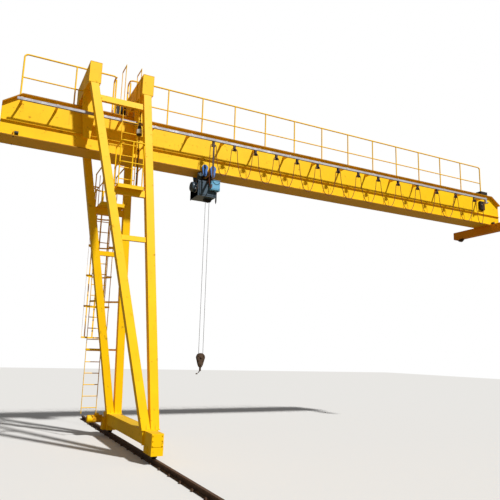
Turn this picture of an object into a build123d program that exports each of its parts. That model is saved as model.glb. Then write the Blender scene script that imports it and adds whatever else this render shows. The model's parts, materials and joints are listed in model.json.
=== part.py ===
import os
from math import atan2, degrees, hypot, pi, tan, radians

from build123d import *

# Girder, along X. The legs stand at X 0, the building end is at +X.
girder_left = -3600
girder_right = 13350
girder_bottom = 7150
girder_depth = 1100
web_gap = 440
web_thickness = 10
flange_width = 660
flange_thickness = 20
end_chamfer_length = 420
end_chamfer_drop = 290
end_plate_thickness = 12
stiffener_height = 380
stiffener_leg = 60
stiffener_thickness = 8
stop_inset = 330
stop_block = 60
stop_radius = 45
stop_length = 90

# Handrail on the girder
rail_height = 1200
mid_rail_height = 560
rail_radius = 21
mid_rail_radius = 17
post_radius = 19
rail_bend = 90
post_spacing = 1020
post_first = 500
right_post_count = 13
left_posts = [-3220, -1970, -950]
gap_post = -570
return_length = 270
post_foot = 90
post_foot_thickness = 8

# Festoon track and its cable
track_offset = 620
track_size = 60
track_wall = 4
track_mouth = 24
track_top_drop = 70
track_left = -3300
track_right = 12250
arm_spacing = 1020
arm_width = 50
arm_thickness = 10
carrier_count = 14
carrier_first = 1640
carrier_step = 620
carrier_growth = 11.5
carrier_depth = 70
carrier_plate = 5
carrier_length = 110
loop_drop = 830
cable_radius = 9
clamp_block = 60

# Yokes over the girder and the four legs under them
outer_yoke_x = -1640
inner_yoke_x = -320
yoke_half_length = 880
yoke_bottom = 8690
yoke_depth = 530
yoke_width = 280
pedestal_width = 180
pedestal_length = 420
hanger_width = 340
hanger_thickness = 20
hanger_bottom = 7430
hanger_rib = 14
leg_size = 190
leg_top_y = 785
leg_foot_y = 1660
foot_spread = 100
foot_top = 640
foot_plate = 20
tie_size = 100
top_tie_z = 8330
platform_tie_z = 6000
lower_tie_z = 4860
tie_depth_top = 150
tie_depth_platform = 170
tie_depth_lower = 120

# Ground carriage, its wheels and the ground rail
rail_length = 12000
rail_foot_width = 130
rail_foot_thickness = 14
rail_web = 24
rail_head_width = 64
rail_head_depth = 34
rail_depth = 110
wheel_radius = 160
wheel_tread = 72
wheel_flange = 16
wheel_rim = 20
wheel_y = 2010
axle_radius = 35
axle_length = 250
beam_width = 300
beam_bottom = 340
housing_width = 260
housing_slot = 160
housing_length = 540
housing_bottom = 180
motor_radius = 95
motor_length = 420
gearbox_size = 220

# Building end carriage
end_carriage_x = 12850
end_carriage_half = 1350
end_carriage_width = 240
end_carriage_depth = 260
end_wheel_radius = 130
end_wheel_y = 1120

# Platforms, ladders and boxes
platform_near_inner = 690
platform_near_outer = 1290
platform_far_inner = 520
platform_far_outer = 1700
deck_thickness = 40
deck_left = -990
deck_right = -375
guard_height = 1100
guard_mid = 550
guard_radius = 17
guard_bend = 60
ladder_width = 380
stringer_depth = 44
stringer_thickness = 12
rung_radius = 12
rung_pitch = 300
upper_ladder_x = -670
upper_ladder_y = -710
upper_ladder_top = 9450
lower_ladder_x = -640
lower_ladder_y = 1790
lower_ladder_bottom = 620
cage_radius = 350
cage_bar = 40
cage_thickness = 6
cage_bottom = 2600
cage_pitch = 850
cabinet_left = -890
cabinet_right = -630
cabinet_depth = 280
cabinet_height = 420

# Hoist under the girder
hoist_x = 1650
trolley_gauge = 290
trolley_plate = 12
plate_radius = 84
trolley_beam_z = 7050
plate_spacing = 240
trolley_wheel_radius = 75
trolley_wheel_width = 50
hoist_top = 6900
hoist_depth = 430
hoist_width = 560
hoist_length = 620
rope_radius = 6
tow_plate = 8
rope_spacing_top = 110
block_top = 2230
hook_z = 1930
sheave_radius = 54
sheave_width = 50

# Heights and planes that follow from the sizes above
girder_top = girder_bottom + girder_depth
web_face = web_gap / 2
flange_edge = flange_width / 2
under_top = girder_top - flange_thickness
over_bottom = girder_bottom + flange_thickness
slope = end_chamfer_drop / end_chamfer_length
yoke_top = yoke_bottom + yoke_depth
rail_z = girder_top + rail_height - rail_radius
mid_rail_z = girder_top + mid_rail_height
track_top = girder_top - 250
track_bottom = track_top - track_size
saddle_radius = 55
saddle_top = track_bottom - 100
rail_head_top = rail_depth
wheel_z = rail_head_top + wheel_radius
deck_top = platform_tie_z + tie_depth_platform / 2 + deck_thickness
deck_bottom = deck_top - deck_thickness
end_carriage_bottom = girder_bottom - end_carriage_depth
end_wheel_z = end_carriage_bottom + 20

os.makedirs("parts", exist_ok=True)


def save(piece, label):
    """Name one finished piece and write it to its file."""
    piece.part.label = label
    export_step(piece.part, f"parts/{label}.step")


def block(x_range, y_range, z_range):
    """Add an upright box between the given limits."""
    x_low, x_high = x_range
    y_low, y_high = y_range
    z_low, z_high = z_range
    middle = ((x_low + x_high) / 2, (y_low + y_high) / 2, (z_low + z_high) / 2)
    with Locations(middle):
        Box(x_high - x_low, y_high - y_low, z_high - z_low)


def rod(start, end, radius):
    """Add a round bar from start to end."""
    axis = Vector(end) - Vector(start)
    with BuildSketch(Plane(origin=start, z_dir=axis)) as section:
        Circle(radius)
    extrude(section.sketch, amount=axis.length)


def taper(low_centre, low_size, high_centre, high_size):
    """Add a square leg whose two ends are cut level."""
    with BuildSketch(Plane.XY.offset(low_centre[2])) as low:
        with Locations(low_centre[:2]):
            Rectangle(low_size, low_size)
    with BuildSketch(Plane.XY.offset(high_centre[2])) as high:
        with Locations(high_centre[:2]):
            Rectangle(high_size, high_size)
    loft([low.sketch.face(), high.sketch.face()])


def leg_point(side, frame, height):
    """Centre of a leg at a height, on the near (-1) or far (+1) frame."""
    share = (height - foot_top) / (yoke_bottom - foot_top)
    foot_x = -foot_spread if frame == "outer" else foot_spread
    top_x = outer_yoke_x if frame == "outer" else inner_yoke_x
    x = foot_x + share * (top_x - foot_x)
    y = leg_foot_y + share * (leg_top_y - leg_foot_y)
    return x, side * y, height


# Ground rail, a flat-bottomed section along Y
with BuildPart() as ground_rail:
    with BuildSketch(Plane.XZ.offset(-rail_length / 2)) as section:
        with BuildLine():
            half_web = rail_web / 2
            half_head = rail_head_width / 2
            half_foot = rail_foot_width / 2
            foot_slope = 12
            right = Polyline(
                (0, 0),
                (half_foot, 0),
                (half_foot, rail_foot_thickness),
                (half_web, rail_foot_thickness + foot_slope),
                (half_web, rail_depth - rail_head_depth - foot_slope / 2),
                (half_head, rail_depth - rail_head_depth),
                (half_head, rail_depth),
                (0, rail_depth),
            )
            mirror(right, about=Plane.YZ)
        make_face()
    extrude(amount=rail_length)
save(ground_rail, "ground_rail")

# Girder flanges
with BuildPart() as top_flange:
    with BuildSketch(Plane.XZ) as section:
        with BuildLine():
            Polyline(
                (girder_left, girder_top - end_chamfer_drop),
                (girder_left + end_chamfer_length, girder_top),
                (girder_right - end_chamfer_length, girder_top),
                (girder_right, girder_top - end_chamfer_drop),
                (girder_right, under_top - end_chamfer_drop),
                (girder_right - end_chamfer_length, under_top),
                (girder_left + end_chamfer_length, under_top),
                (girder_left, under_top - end_chamfer_drop),
                close=True,
            )
        make_face()
    extrude(amount=flange_edge, both=True)
save(top_flange, "girder_top_flange")

with BuildPart() as bottom_flange:
    block((girder_left, girder_right), (-flange_edge, flange_edge), (girder_bottom, over_bottom))
save(bottom_flange, "girder_bottom_flange")

# Girder webs, cut to the sloping ends
for side, name in ((-1, "near"), (1, "far")):
    with BuildPart() as web:
        with BuildSketch(Plane.XZ.offset(-side * web_face)) as section:
            with BuildLine():
                inner_left = girder_left + end_plate_thickness
                inner_right = girder_right - end_plate_thickness
                corner = under_top - end_chamfer_drop + slope * end_plate_thickness
                Polyline(
                    (inner_left, over_bottom),
                    (inner_right, over_bottom),
                    (inner_right, corner),
                    (girder_right - end_chamfer_length, under_top),
                    (girder_left + end_chamfer_length, under_top),
                    (inner_left, corner),
                    close=True,
                )
            make_face()
        extrude(amount=side * web_thickness)
    save(web, f"girder_{name}_web")

with BuildPart() as end_plates:
    for low in (girder_left, girder_right - end_plate_thickness):
        block(
            (low, low + end_plate_thickness),
            (-web_face, web_face),
            (over_bottom, under_top - end_chamfer_drop),
        )
save(end_plates, "girder_end_plates")

# Angle bars that stiffen the webs from end to end
with BuildPart() as stiffeners:
    low = girder_bottom + stiffener_height
    for side in (-1, 1):
        with BuildSketch(Plane.YZ.offset(girder_left + end_plate_thickness)) as section:
            with Locations((side * (web_face + stiffener_leg / 2), low + stiffener_thickness / 2)):
                Rectangle(stiffener_leg, stiffener_thickness)
            with Locations((side * (web_face + stiffener_thickness / 2), low + stiffener_leg / 2)):
                Rectangle(stiffener_thickness, stiffener_leg)
        extrude(section.sketch, amount=girder_right - girder_left - 2 * end_plate_thickness)
save(stiffeners, "girder_stiffeners")

# End stops for the trolley wheels, on the bottom flange
stop_plate = 16
stop_height = 150
stop_y = (web_face + flange_edge) / 2
with BuildPart() as stop_brackets:
    for x in (girder_left + stop_inset - stop_plate, girder_right - stop_inset):
        for side in (-1, 1):
            block(
                (x, x + stop_plate),
                (side * stop_y - stop_block / 2, side * stop_y + stop_block / 2),
                (over_bottom, over_bottom + stop_height),
            )
save(stop_brackets, "trolley_stop_brackets")

with BuildPart() as stop_buffers:
    for x, way in ((girder_left + stop_inset, 1), (girder_right - stop_inset, -1)):
        for side in (-1, 1):
            y = side * stop_y
            z = over_bottom + stop_height / 2
            rod((x, y, z), (x + way * stop_length, y, z), stop_radius)
save(stop_buffers, "trolley_stop_buffers")


def tube(points, radius, bend):
    """Add a bent round tube along a route."""
    with BuildLine() as route:
        FilletPolyline(*points, radius=bend)
    with BuildSketch(Plane(origin=route.line @ 0, z_dir=route.line % 0)) as section:
        Circle(radius)
    sweep(section.sketch, path=route.line)


# Handrail along the girder, open where the ladder comes up
left_end = left_posts[0]
gap_left = left_posts[-1]
right_posts = [post_first + i * post_spacing for i in range(right_post_count)]
right_end = right_posts[-1]
outer_yoke_left = outer_yoke_x - yoke_width / 2
outer_yoke_right = outer_yoke_x + yoke_width / 2
inner_yoke_left = inner_yoke_x - yoke_width / 2
inner_yoke_right = inner_yoke_x + yoke_width / 2


def foot(x, y):
    """Add the square plate under a post."""
    half = post_foot / 2
    block((x - half, x + half), (y - half, y + half), (girder_top, girder_top + post_foot_thickness))


def handrail(far_end, gap_end, posts, breaks):
    """Add a run of rail that turns back beside the opening."""
    top_route = [
        (far_end, 0, girder_top),
        (far_end, 0, rail_z),
        (gap_end, 0, rail_z),
        (gap_end, return_length, rail_z),
        (gap_end, return_length, girder_top),
    ]
    tube(top_route, rail_radius, rail_bend)
    for start, finish in breaks:
        rod((start, 0, mid_rail_z), (finish, 0, mid_rail_z), mid_rail_radius)
    rod((gap_end, 0, mid_rail_z), (gap_end, return_length, mid_rail_z), mid_rail_radius)
    for x in posts:
        rod((x, 0, girder_top), (x, 0, rail_z), post_radius)
        foot(x, 0)
    foot(far_end, 0)
    foot(gap_end, return_length)


with BuildPart() as left_handrail:
    handrail(
        left_end,
        gap_left,
        left_posts[1:-1],
        ((left_end, outer_yoke_left), (outer_yoke_right, gap_left)),
    )
    rod((gap_left, 0, girder_top), (gap_left, 0, rail_z - rail_bend), post_radius)
    foot(gap_left, 0)
save(left_handrail, "left_handrail")

with BuildPart() as right_handrail:
    handrail(
        right_end,
        gap_post,
        right_posts[:-1],
        ((gap_post, inner_yoke_left), (inner_yoke_right, right_end)),
    )
    rod((gap_post, 0, girder_top), (gap_post, 0, rail_z - rail_bend), post_radius)
    foot(gap_post, 0)
save(right_handrail, "right_handrail")

# Festoon track, a box with a slot along its underside
with BuildPart() as track:
    with BuildSketch(Plane.YZ.offset(track_left)) as section:
        with Locations((-track_offset, track_top - track_size / 2)):
            Rectangle(track_size, track_size)
            Rectangle(track_size - 2 * track_wall, track_size - 2 * track_wall, mode=Mode.SUBTRACT)
        with Locations((-track_offset, track_bottom + track_wall / 2)):
            Rectangle(track_mouth, track_wall, mode=Mode.SUBTRACT)
    extrude(amount=track_right - track_left)
save(track, "festoon_track")

# Arms that hold the track out from the near web
arm_places = [-3200, -2400, -1350, -850, 0] + [1000 + i * arm_spacing for i in range(12)]
with BuildPart() as arms:
    for x in arm_places:
        block(
            (x - arm_width / 2, x + arm_width / 2),
            (-track_offset - track_size / 2, -web_face),
            (track_top, track_top + arm_thickness),
        )
        with BuildSketch(Plane.YZ.offset(x - arm_thickness / 2)) as gusset:
            with BuildLine():
                Polyline(
                    (-web_face, track_top + arm_thickness),
                    (-track_offset, track_top + arm_thickness),
                    (-web_face, track_top + 120),
                    close=True,
                )
            make_face()
        extrude(gusset.sketch, amount=arm_thickness)
save(arms, "festoon_arms")


def carrier_x(index):
    """Place of a cable carrier, closer together near the hoist."""
    return carrier_first + index * carrier_step + index * index * carrier_growth


def carrier(x):
    """Add a runner in the track with its round saddle below."""
    gap = 1
    half_head = track_size / 2 - track_wall - gap
    block(
        (x - carrier_length / 2, x + carrier_length / 2),
        (-track_offset - half_head, -track_offset + half_head),
        (track_bottom + track_wall + gap, track_top - track_wall - gap),
    )
    half = carrier_depth / 2
    plate_half = carrier_length / 4
    bridge_top = track_bottom - carrier_plate
    bridge_bottom = bridge_top - 2 * carrier_plate
    block(
        (x - plate_half, x + plate_half),
        (-track_offset - carrier_plate, -track_offset + carrier_plate),
        (bridge_top, track_bottom + track_wall + gap),
    )
    block(
        (x - plate_half, x + plate_half),
        (-track_offset - half, -track_offset + half),
        (bridge_bottom, bridge_top),
    )
    for side in (-1, 1):
        outer = -track_offset + side * half
        inner = outer - side * carrier_plate
        block(
            (x - plate_half, x + plate_half),
            sorted((inner, outer)),
            (saddle_top - saddle_radius, bridge_bottom),
        )
    with BuildSketch(Plane.XZ.offset(track_offset)) as shoe:
        with Locations((x, saddle_top - saddle_radius)):
            Circle(saddle_radius)
        with Locations((x, saddle_top - 2 * saddle_radius)):
            Rectangle(2 * saddle_radius, 2 * saddle_radius, mode=Mode.SUBTRACT)
    extrude(shoe.sketch, amount=carrier_depth / 2, both=True)


with BuildPart() as carriers:
    for index in range(1, carrier_count):
        carrier(carrier_x(index))
save(carriers, "festoon_carriers")

with BuildPart() as tow_carrier:
    carrier(carrier_x(0))
save(tow_carrier, "tow_carrier")


def loop_route(left, right):
    """Route of one hanging loop, from the top of one saddle to the next."""
    y = -track_offset
    top = saddle_top + cable_radius + 0.3
    shoulder = 50
    turn = 35
    side = left + shoulder + turn
    other = right - shoulder - turn
    inset = (other - side) / 2
    drop = loop_drop - turn
    high = top - turn
    return [
        (left, y, top),
        (left + shoulder, y, top),
        (side, y, high),
        (side + 0.03 * inset, y, high - 0.11 * drop),
        (side + 0.08 * inset, y, high - 0.31 * drop),
        (side + 0.20 * inset, y, high - 0.58 * drop),
        (side + 0.42 * inset, y, high - 0.83 * drop),
        (side + 0.72 * inset, y, high - drop),
        (other - 0.72 * inset, y, high - drop),
        (other - 0.42 * inset, y, high - 0.83 * drop),
        (other - 0.20 * inset, y, high - 0.58 * drop),
        (other - 0.08 * inset, y, high - 0.31 * drop),
        (other - 0.03 * inset, y, high - 0.11 * drop),
        (other, y, high),
        (right - shoulder, y, top),
        (right, y, top),
    ]


def bend_radii(points):
    """Largest even bend at each corner of a route, from its shorter run."""
    radii = []
    for before, here, after in zip(points, points[1:], points[2:]):
        first = Vector(here) - Vector(before)
        second = Vector(after) - Vector(here)
        turn = radians(first.get_angle(second))
        run = min(first.length, second.length)
        radii.append(0.45 * run / tan(turn / 2))
    return radii


def cable(points, radius):
    """Add a round cable along a route."""
    radii = bend_radii(points)
    print("tightest bend", round(min(radii)), "mm")
    with BuildLine() as route:
        FilletPolyline(*points, radius=radii)
    start = Plane(origin=route.line @ 0, z_dir=route.line % 0)
    with BuildSketch(start) as section:
        RegularPolygon(radius, 6)
    sweep(section.sketch, path=route.line, transition=Transition.RIGHT)


clamp_x = track_right - clamp_block / 2
with BuildPart() as festoon_cable:
    places = [carrier_x(index) for index in range(carrier_count)] + [clamp_x - clamp_block / 2]
    for left, right in zip(places, places[1:]):
        cable(loop_route(left, right), cable_radius)
save(festoon_cable, "festoon_cable")

with BuildPart() as end_clamp:
    block(
        (clamp_x - clamp_block / 2, clamp_x + clamp_block / 2),
        (-track_offset - carrier_depth / 2, -track_offset + carrier_depth / 2),
        (saddle_top - clamp_block / 2, track_bottom),
    )
save(end_clamp, "festoon_end_clamp")

# Yokes across the girder, on pedestals, with plates down both sides
yoke_places = (outer_yoke_x, inner_yoke_x)
with BuildPart() as yokes:
    for x in yoke_places:
        block(
            (x - yoke_width / 2, x + yoke_width / 2),
            (-yoke_half_length, yoke_half_length),
            (yoke_bottom, yoke_top),
        )
save(yokes, "yokes")

with BuildPart() as pedestals:
    for x in yoke_places:
        block(
            (x - pedestal_width / 2, x + pedestal_width / 2),
            (-pedestal_length / 2, pedestal_length / 2),
            (girder_top, yoke_bottom),
        )
save(pedestals, "yoke_pedestals")

with BuildPart() as hangers:
    for x in yoke_places:
        for side in (-1, 1):
            inner = side * flange_edge
            with BuildSketch(Plane.XZ.offset(-inner)) as plate:
                with BuildLine():
                    Polyline(
                        (x - hanger_width / 2, yoke_bottom),
                        (x + hanger_width / 2, yoke_bottom),
                        (x + hanger_width / 2, under_top),
                        (x + hanger_width / 4, hanger_bottom),
                        (x - hanger_width / 4, hanger_bottom),
                        (x - hanger_width / 2, under_top),
                        close=True,
                    )
                make_face()
            extrude(plate.sketch, amount=-side * hanger_thickness)
            for z in (hanger_bottom + 160, under_top - 180):
                block(
                    (x - hanger_width / 4, x + hanger_width / 4),
                    sorted((side * web_face, inner)),
                    (z, z + hanger_rib),
                )
save(hangers, "girder_hangers")

# Legs, tapering together towards the ground carriage
for side, side_name in ((-1, "near"), (1, "far")):
    for frame in ("outer", "inner"):
        with BuildPart() as leg:
            taper(
                leg_point(side, frame, foot_top),
                leg_size,
                leg_point(side, frame, yoke_bottom),
                leg_size,
            )
        save(leg, f"{side_name}_{frame}_leg")

ties = (
    (top_tie_z, tie_depth_top),
    (platform_tie_z, tie_depth_platform),
    (lower_tie_z, tie_depth_lower),
)
for side, side_name in ((-1, "near"), (1, "far")):
    with BuildPart() as leg_ties:
        for z, depth in ties:
            ends = []
            for height in (z - depth / 2, z + depth / 2):
                left = leg_point(side, "outer", height)
                right = leg_point(side, "inner", height)
                with BuildSketch(Plane.XY.offset(height)) as level:
                    span = (left[0] + leg_size / 2, right[0] - leg_size / 2)
                    with Locations(((span[0] + span[1]) / 2, left[1])):
                        Rectangle(span[1] - span[0], tie_size)
                ends.append(level.sketch.face())
            loft(ends)
    save(leg_ties, f"{side_name}_leg_ties")

# Ground carriage: a box beam with a wheel housing at each end
with BuildPart() as beam:
    half = wheel_y - housing_length / 2
    block((-beam_width / 2, beam_width / 2), (-half, half), (beam_bottom, foot_top - foot_plate))
    for side in (-1, 1):
        x, y, _ = leg_point(side, "outer", foot_top)
        wide = foot_spread + leg_size / 2 + 10
        block((-wide, wide), (y - 120, y + 120), (foot_top - foot_plate, foot_top))
save(beam, "ground_beam")

with BuildPart() as housings:
    slot_top = wheel_z + wheel_radius + wheel_flange + 20
    for side in (-1, 1):
        y = side * wheel_y
        block(
            (-housing_width / 2, housing_width / 2),
            (y - housing_length / 2, y + housing_length / 2),
            (housing_bottom, foot_top - foot_plate),
        )
        with Locations((0, y, (housing_bottom + slot_top) / 2)):
            Box(housing_slot, housing_length - 40, slot_top - housing_bottom, mode=Mode.SUBTRACT)
        with Locations(Location((0, y, wheel_z), (0, 90, 0))):
            Cylinder(axle_radius + 0.3, axle_length, mode=Mode.SUBTRACT)
save(housings, "wheel_housings")

for side, side_name in ((-1, "near"), (1, "far")):
    y = side * wheel_y
    with BuildPart() as wheel:
        with BuildSketch(Plane.XY) as section:
            with BuildLine():
                tread = wheel_tread / 2
                rim = tread + wheel_rim
                right = Polyline(
                    (0, 0),
                    (axle_length / 2, 0),
                    (axle_length / 2, axle_radius),
                    (rim, axle_radius),
                    (rim, wheel_radius + wheel_flange),
                    (tread + 4, wheel_radius + wheel_flange),
                    (tread, wheel_radius),
                    (0, wheel_radius),
                )
                mirror(right, about=Plane.YZ)
            make_face()
        revolve(axis=Axis.X)
    wheel.part.locate(Location((0, y, wheel_z + 0.3)))
    save(wheel, f"{side_name}_ground_wheel")

# Geared travel motor beside the far wheel
with BuildPart() as travel_motor:
    y = wheel_y
    face = -housing_width / 2
    block((face - 90, face), (y - 110, y + 110), (wheel_z - 110, wheel_z + 240))
    z = wheel_z + 150
    rod((face - 90, y, z), (face - 90 - motor_length, y, z), motor_radius)
    rod((face - 90 - motor_length, y, z), (face - 90 - motor_length - 60, y, z), motor_radius - 8)
save(travel_motor, "ground_travel_motor")

# Carriage at the building end, under the girder
with BuildPart() as end_beam:
    block(
        (end_carriage_x - end_carriage_width / 2, end_carriage_x + end_carriage_width / 2),
        (-end_carriage_half, end_carriage_half),
        (end_carriage_bottom, girder_bottom),
    )
    for side in (-1, 1):
        y = side * end_wheel_y
        with Locations((end_carriage_x, y, end_carriage_bottom + end_wheel_radius / 2)):
            Box(90, 2 * end_wheel_radius + 40, end_wheel_radius + 60, mode=Mode.SUBTRACT)
save(end_beam, "building_end_carriage")

with BuildPart() as end_wheels:
    for side in (-1, 1):
        y = side * end_wheel_y
        start = (end_carriage_x - 45, y, end_wheel_z)
        finish = (end_carriage_x + 45, y, end_wheel_z)
        rod((start[0] + 8, y, end_wheel_z), (finish[0] - 8, y, end_wheel_z), end_wheel_radius)
        rod(start, finish, axle_radius)
save(end_wheels, "building_end_wheels")


def guard_rail(points, posts, floor):
    """Add a platform rail: a bent top tube, a mid tube and straight posts."""
    top = floor + guard_height - guard_radius
    middle = floor + guard_mid
    tube([(x, y, top) for x, y in points], guard_radius, guard_bend)
    tube([(x, y, middle) for x, y in points], guard_radius - 3, guard_bend)
    for x, y in posts:
        rod((x, y, floor), (x, y, top), guard_radius - 2)


# Platforms inside the two leg frames
edge = guard_radius + 8
with BuildPart() as near_platform:
    block(
        (deck_left, deck_right),
        (-platform_near_outer, -platform_near_inner),
        (deck_bottom, deck_top),
    )
save(near_platform, "near_platform")

with BuildPart() as near_platform_rail:
    left = deck_left + edge
    right = deck_right - edge
    back = -platform_near_inner - edge
    front = -platform_near_outer + edge
    guard_rail(
        [(left, back), (left, front), (right, front), (right, back)],
        [(left, back), (right, back), ((left + right) / 2, front)],
        deck_top,
    )
save(near_platform_rail, "near_platform_rail")

with BuildPart() as far_platform:
    block(
        (deck_left, deck_right),
        (platform_far_inner, platform_far_outer),
        (deck_bottom, deck_top),
    )
save(far_platform, "far_platform")

with BuildPart() as far_platform_rail:
    front = platform_far_inner + edge
    back = platform_far_outer - edge
    guard_rail(
        [(left, back), (left, front), (right, front), (right, back)],
        [(left, back), (right, back), ((left + right) / 2, front)],
        deck_top,
    )
save(far_platform_rail, "far_platform_rail")


def ladder(x, y, low, high):
    """Add two flat stringers with round rungs between them."""
    for side in (-1, 1):
        middle = x + side * (ladder_width + stringer_thickness) / 2
        block(
            (middle - stringer_thickness / 2, middle + stringer_thickness / 2),
            (y - stringer_depth / 2, y + stringer_depth / 2),
            (low, high),
        )


def rungs(x, y, low, count):
    """Add the rungs of a ladder."""
    for index in range(count):
        z = low + rung_pitch * index
        rod((x - ladder_width / 2, y, z), (x + ladder_width / 2, y, z), rung_radius)


with BuildPart() as upper_ladder:
    ladder(upper_ladder_x, upper_ladder_y, deck_top, upper_ladder_top)
    steps = int((girder_top - deck_top) / rung_pitch)
    rungs(upper_ladder_x, upper_ladder_y, deck_top + rung_pitch, steps)
    for side in (-1, 1):
        middle = upper_ladder_x + side * (ladder_width + stringer_thickness) / 2
        block(
            (middle - stringer_thickness / 2, middle + stringer_thickness / 2),
            (upper_ladder_y + stringer_depth / 2, -flange_edge + stringer_depth),
            (upper_ladder_top - stringer_depth, upper_ladder_top),
        )
        block(
            (middle - stringer_thickness / 2, middle + stringer_thickness / 2),
            (-flange_edge, -flange_edge + stringer_depth),
            (girder_top, upper_ladder_top - stringer_depth),
        )
save(upper_ladder, "upper_ladder")

with BuildPart() as lower_ladder:
    ladder(lower_ladder_x, lower_ladder_y, lower_ladder_bottom, deck_top + guard_height)
    steps = int((deck_top - lower_ladder_bottom) / rung_pitch)
    rungs(lower_ladder_x, lower_ladder_y, lower_ladder_bottom + rung_pitch / 2, steps)
    for side in (-1, 1):
        middle = lower_ladder_x + side * (ladder_width + stringer_thickness) / 2
        block(
            (middle - stringer_thickness / 2, middle + stringer_thickness / 2),
            (platform_far_outer, lower_ladder_y - stringer_depth / 2),
            (deck_bottom, deck_top),
        )
save(lower_ladder, "lower_ladder")

with BuildPart() as cage:
    levels = int((deck_top + guard_height - cage_bottom) / cage_pitch) + 1
    centre_y = lower_ladder_y + stringer_depth / 2
    for index in range(levels):
        z = cage_bottom + index * cage_pitch
        with BuildSketch(Plane.XY.offset(z)) as hoop:
            with Locations((lower_ladder_x, centre_y)):
                Circle(cage_radius)
                Circle(cage_radius - cage_thickness, mode=Mode.SUBTRACT)
            with Locations((lower_ladder_x, centre_y - cage_radius)):
                Rectangle(2 * cage_radius, 2 * cage_radius, mode=Mode.SUBTRACT)
            with Locations((lower_ladder_x, centre_y + cage_thickness / 2)):
                for side in (-1, 1):
                    inner = ladder_width / 2 + stringer_thickness
                    with Locations((side * (inner + cage_radius) / 2, 0)):
                        Rectangle(cage_radius - inner, cage_thickness)
        extrude(hoop.sketch, amount=cage_bar)
    high = cage_bottom + (levels - 1) * cage_pitch + cage_bar
    for angle in (10, 50, 90, 130, 170):
        bar = Vector(cage_radius - 1.5 * cage_thickness, 0).rotate(Axis.Z, angle)
        with BuildSketch(Plane.XY.offset(cage_bottom)) as upright:
            with Locations(Location((lower_ladder_x + bar.X, centre_y + bar.Y, 0), (0, 0, angle))):
                Rectangle(cage_thickness + 1, cage_bar)
        extrude(upright.sketch, amount=high - cage_bottom)
save(cage, "ladder_cage")

# Cabinet beside the opening, lamp box and its conduit
with BuildPart() as cabinet:
    block(
        (cabinet_left, cabinet_right),
        (flange_edge - cabinet_depth, flange_edge),
        (girder_top, girder_top + cabinet_height),
    )
save(cabinet, "control_cabinet")

# Trolley on the bottom flange
wheel_centre_z = over_bottom + trolley_wheel_radius + 0.3
plate_y = flange_edge + 30
with BuildPart() as plates:
    for x in (hoist_x - plate_spacing / 2, hoist_x + plate_spacing / 2):
        for side in (-1, 1):
            with BuildSketch(Plane.XZ.offset(-side * plate_y)) as leaf:
                with Locations((x, wheel_centre_z)):
                    Circle(plate_radius)
                with Locations((x, trolley_beam_z)):
                    Circle(plate_radius * 0.6)
                make_hull()
            extrude(leaf.sketch, amount=-side * trolley_plate)
save(plates, "trolley_plates")

with BuildPart() as trolley_wheels:
    for x in (hoist_x - plate_spacing / 2, hoist_x + plate_spacing / 2):
        for side in (-1, 1):
            y = side * trolley_gauge
            half = trolley_wheel_width / 2
            rod((x, y - half, wheel_centre_z), (x, y + half, wheel_centre_z), trolley_wheel_radius)
            rod((x, y, wheel_centre_z), (x, side * plate_y, wheel_centre_z), 16)
save(trolley_wheels, "trolley_wheels")

with BuildPart() as trolley_beams:
    for x in (hoist_x - plate_spacing / 2, hoist_x + plate_spacing / 2):
        block(
            (x - 40, x + 40),
            (-plate_y, plate_y),
            (trolley_beam_z - 45, trolley_beam_z + 35),
        )
    block(
        (hoist_x - plate_spacing / 2 - 60, hoist_x + plate_spacing / 2 + 60),
        (-140, 140),
        (hoist_top, trolley_beam_z - 45),
    )
save(trolley_beams, "trolley_beams")

with BuildPart() as trolley_motor:
    block((hoist_x - 290, hoist_x - 170), (-plate_y, -plate_y + 140), (hoist_top + 40, girder_bottom - 30))
save(trolley_motor, "trolley_motor")

# Hoist body, drum motor and control box
hoist_left = hoist_x - hoist_length / 2 + 40
hoist_right = hoist_left + hoist_length
hoist_bottom = hoist_top - hoist_depth
with BuildPart() as hoist_body:
    block(
        (hoist_left, hoist_right - 100),
        (-hoist_width / 2, hoist_width / 2),
        (hoist_bottom, hoist_top),
    )
save(hoist_body, "hoist_body")

with BuildPart() as hoist_motor:
    z = hoist_bottom + hoist_depth * 0.6
    rod((hoist_left, -120, z), (hoist_left - 150, -120, z), 140)
save(hoist_motor, "hoist_motor")

with BuildPart() as hoist_panel:
    block(
        (hoist_right - 290, hoist_right - 20),
        (-hoist_width / 2 - 110, -hoist_width / 2),
        (hoist_top - 260, hoist_top + 20),
    )
save(hoist_panel, "hoist_panel")

with BuildPart() as tow_arm:
    x = carrier_x(0)
    face = -track_offset - carrier_depth / 2
    high = track_bottom - carrier_plate
    block((x - 25, x + 25), (face - tow_plate, face), (hoist_top - 60, high))
    block((x - 25, x + 25), (face, -hoist_width / 2), (hoist_top - 60, hoist_top - 10))
save(tow_arm, "tow_arm")

rope_x = hoist_x + 130
sheave_z = block_top - 60
with BuildPart() as ropes:
    for side in (-1, 1):
        rod(
            (rope_x + side * rope_spacing_top / 2, 0, hoist_bottom),
            (rope_x + side * (sheave_radius + rope_radius), 0, sheave_z),
            rope_radius,
        )
save(ropes, "hoist_ropes")

with BuildPart() as hook_block:
    for side in (-1, 1):
        with BuildSketch(Plane.XZ.offset(side * 34)) as cheek:
            with Locations((rope_x, block_top - 60)):
                Circle(110)
            with Locations((rope_x, block_top - 240)):
                Circle(60)
            make_hull()
        extrude(cheek.sketch, amount=side * 14)
    block((rope_x - 50, rope_x + 50), (-34, 34), (block_top - 290, block_top - 240))
save(hook_block, "hook_block")

with BuildPart() as sheave:
    half = sheave_width / 2
    rod((rope_x, -half, sheave_z), (rope_x, half, sheave_z), sheave_radius - 0.3)
    rod((rope_x, -34, sheave_z), (rope_x, 34, sheave_z), 20)
save(sheave, "hook_sheave")

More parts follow.
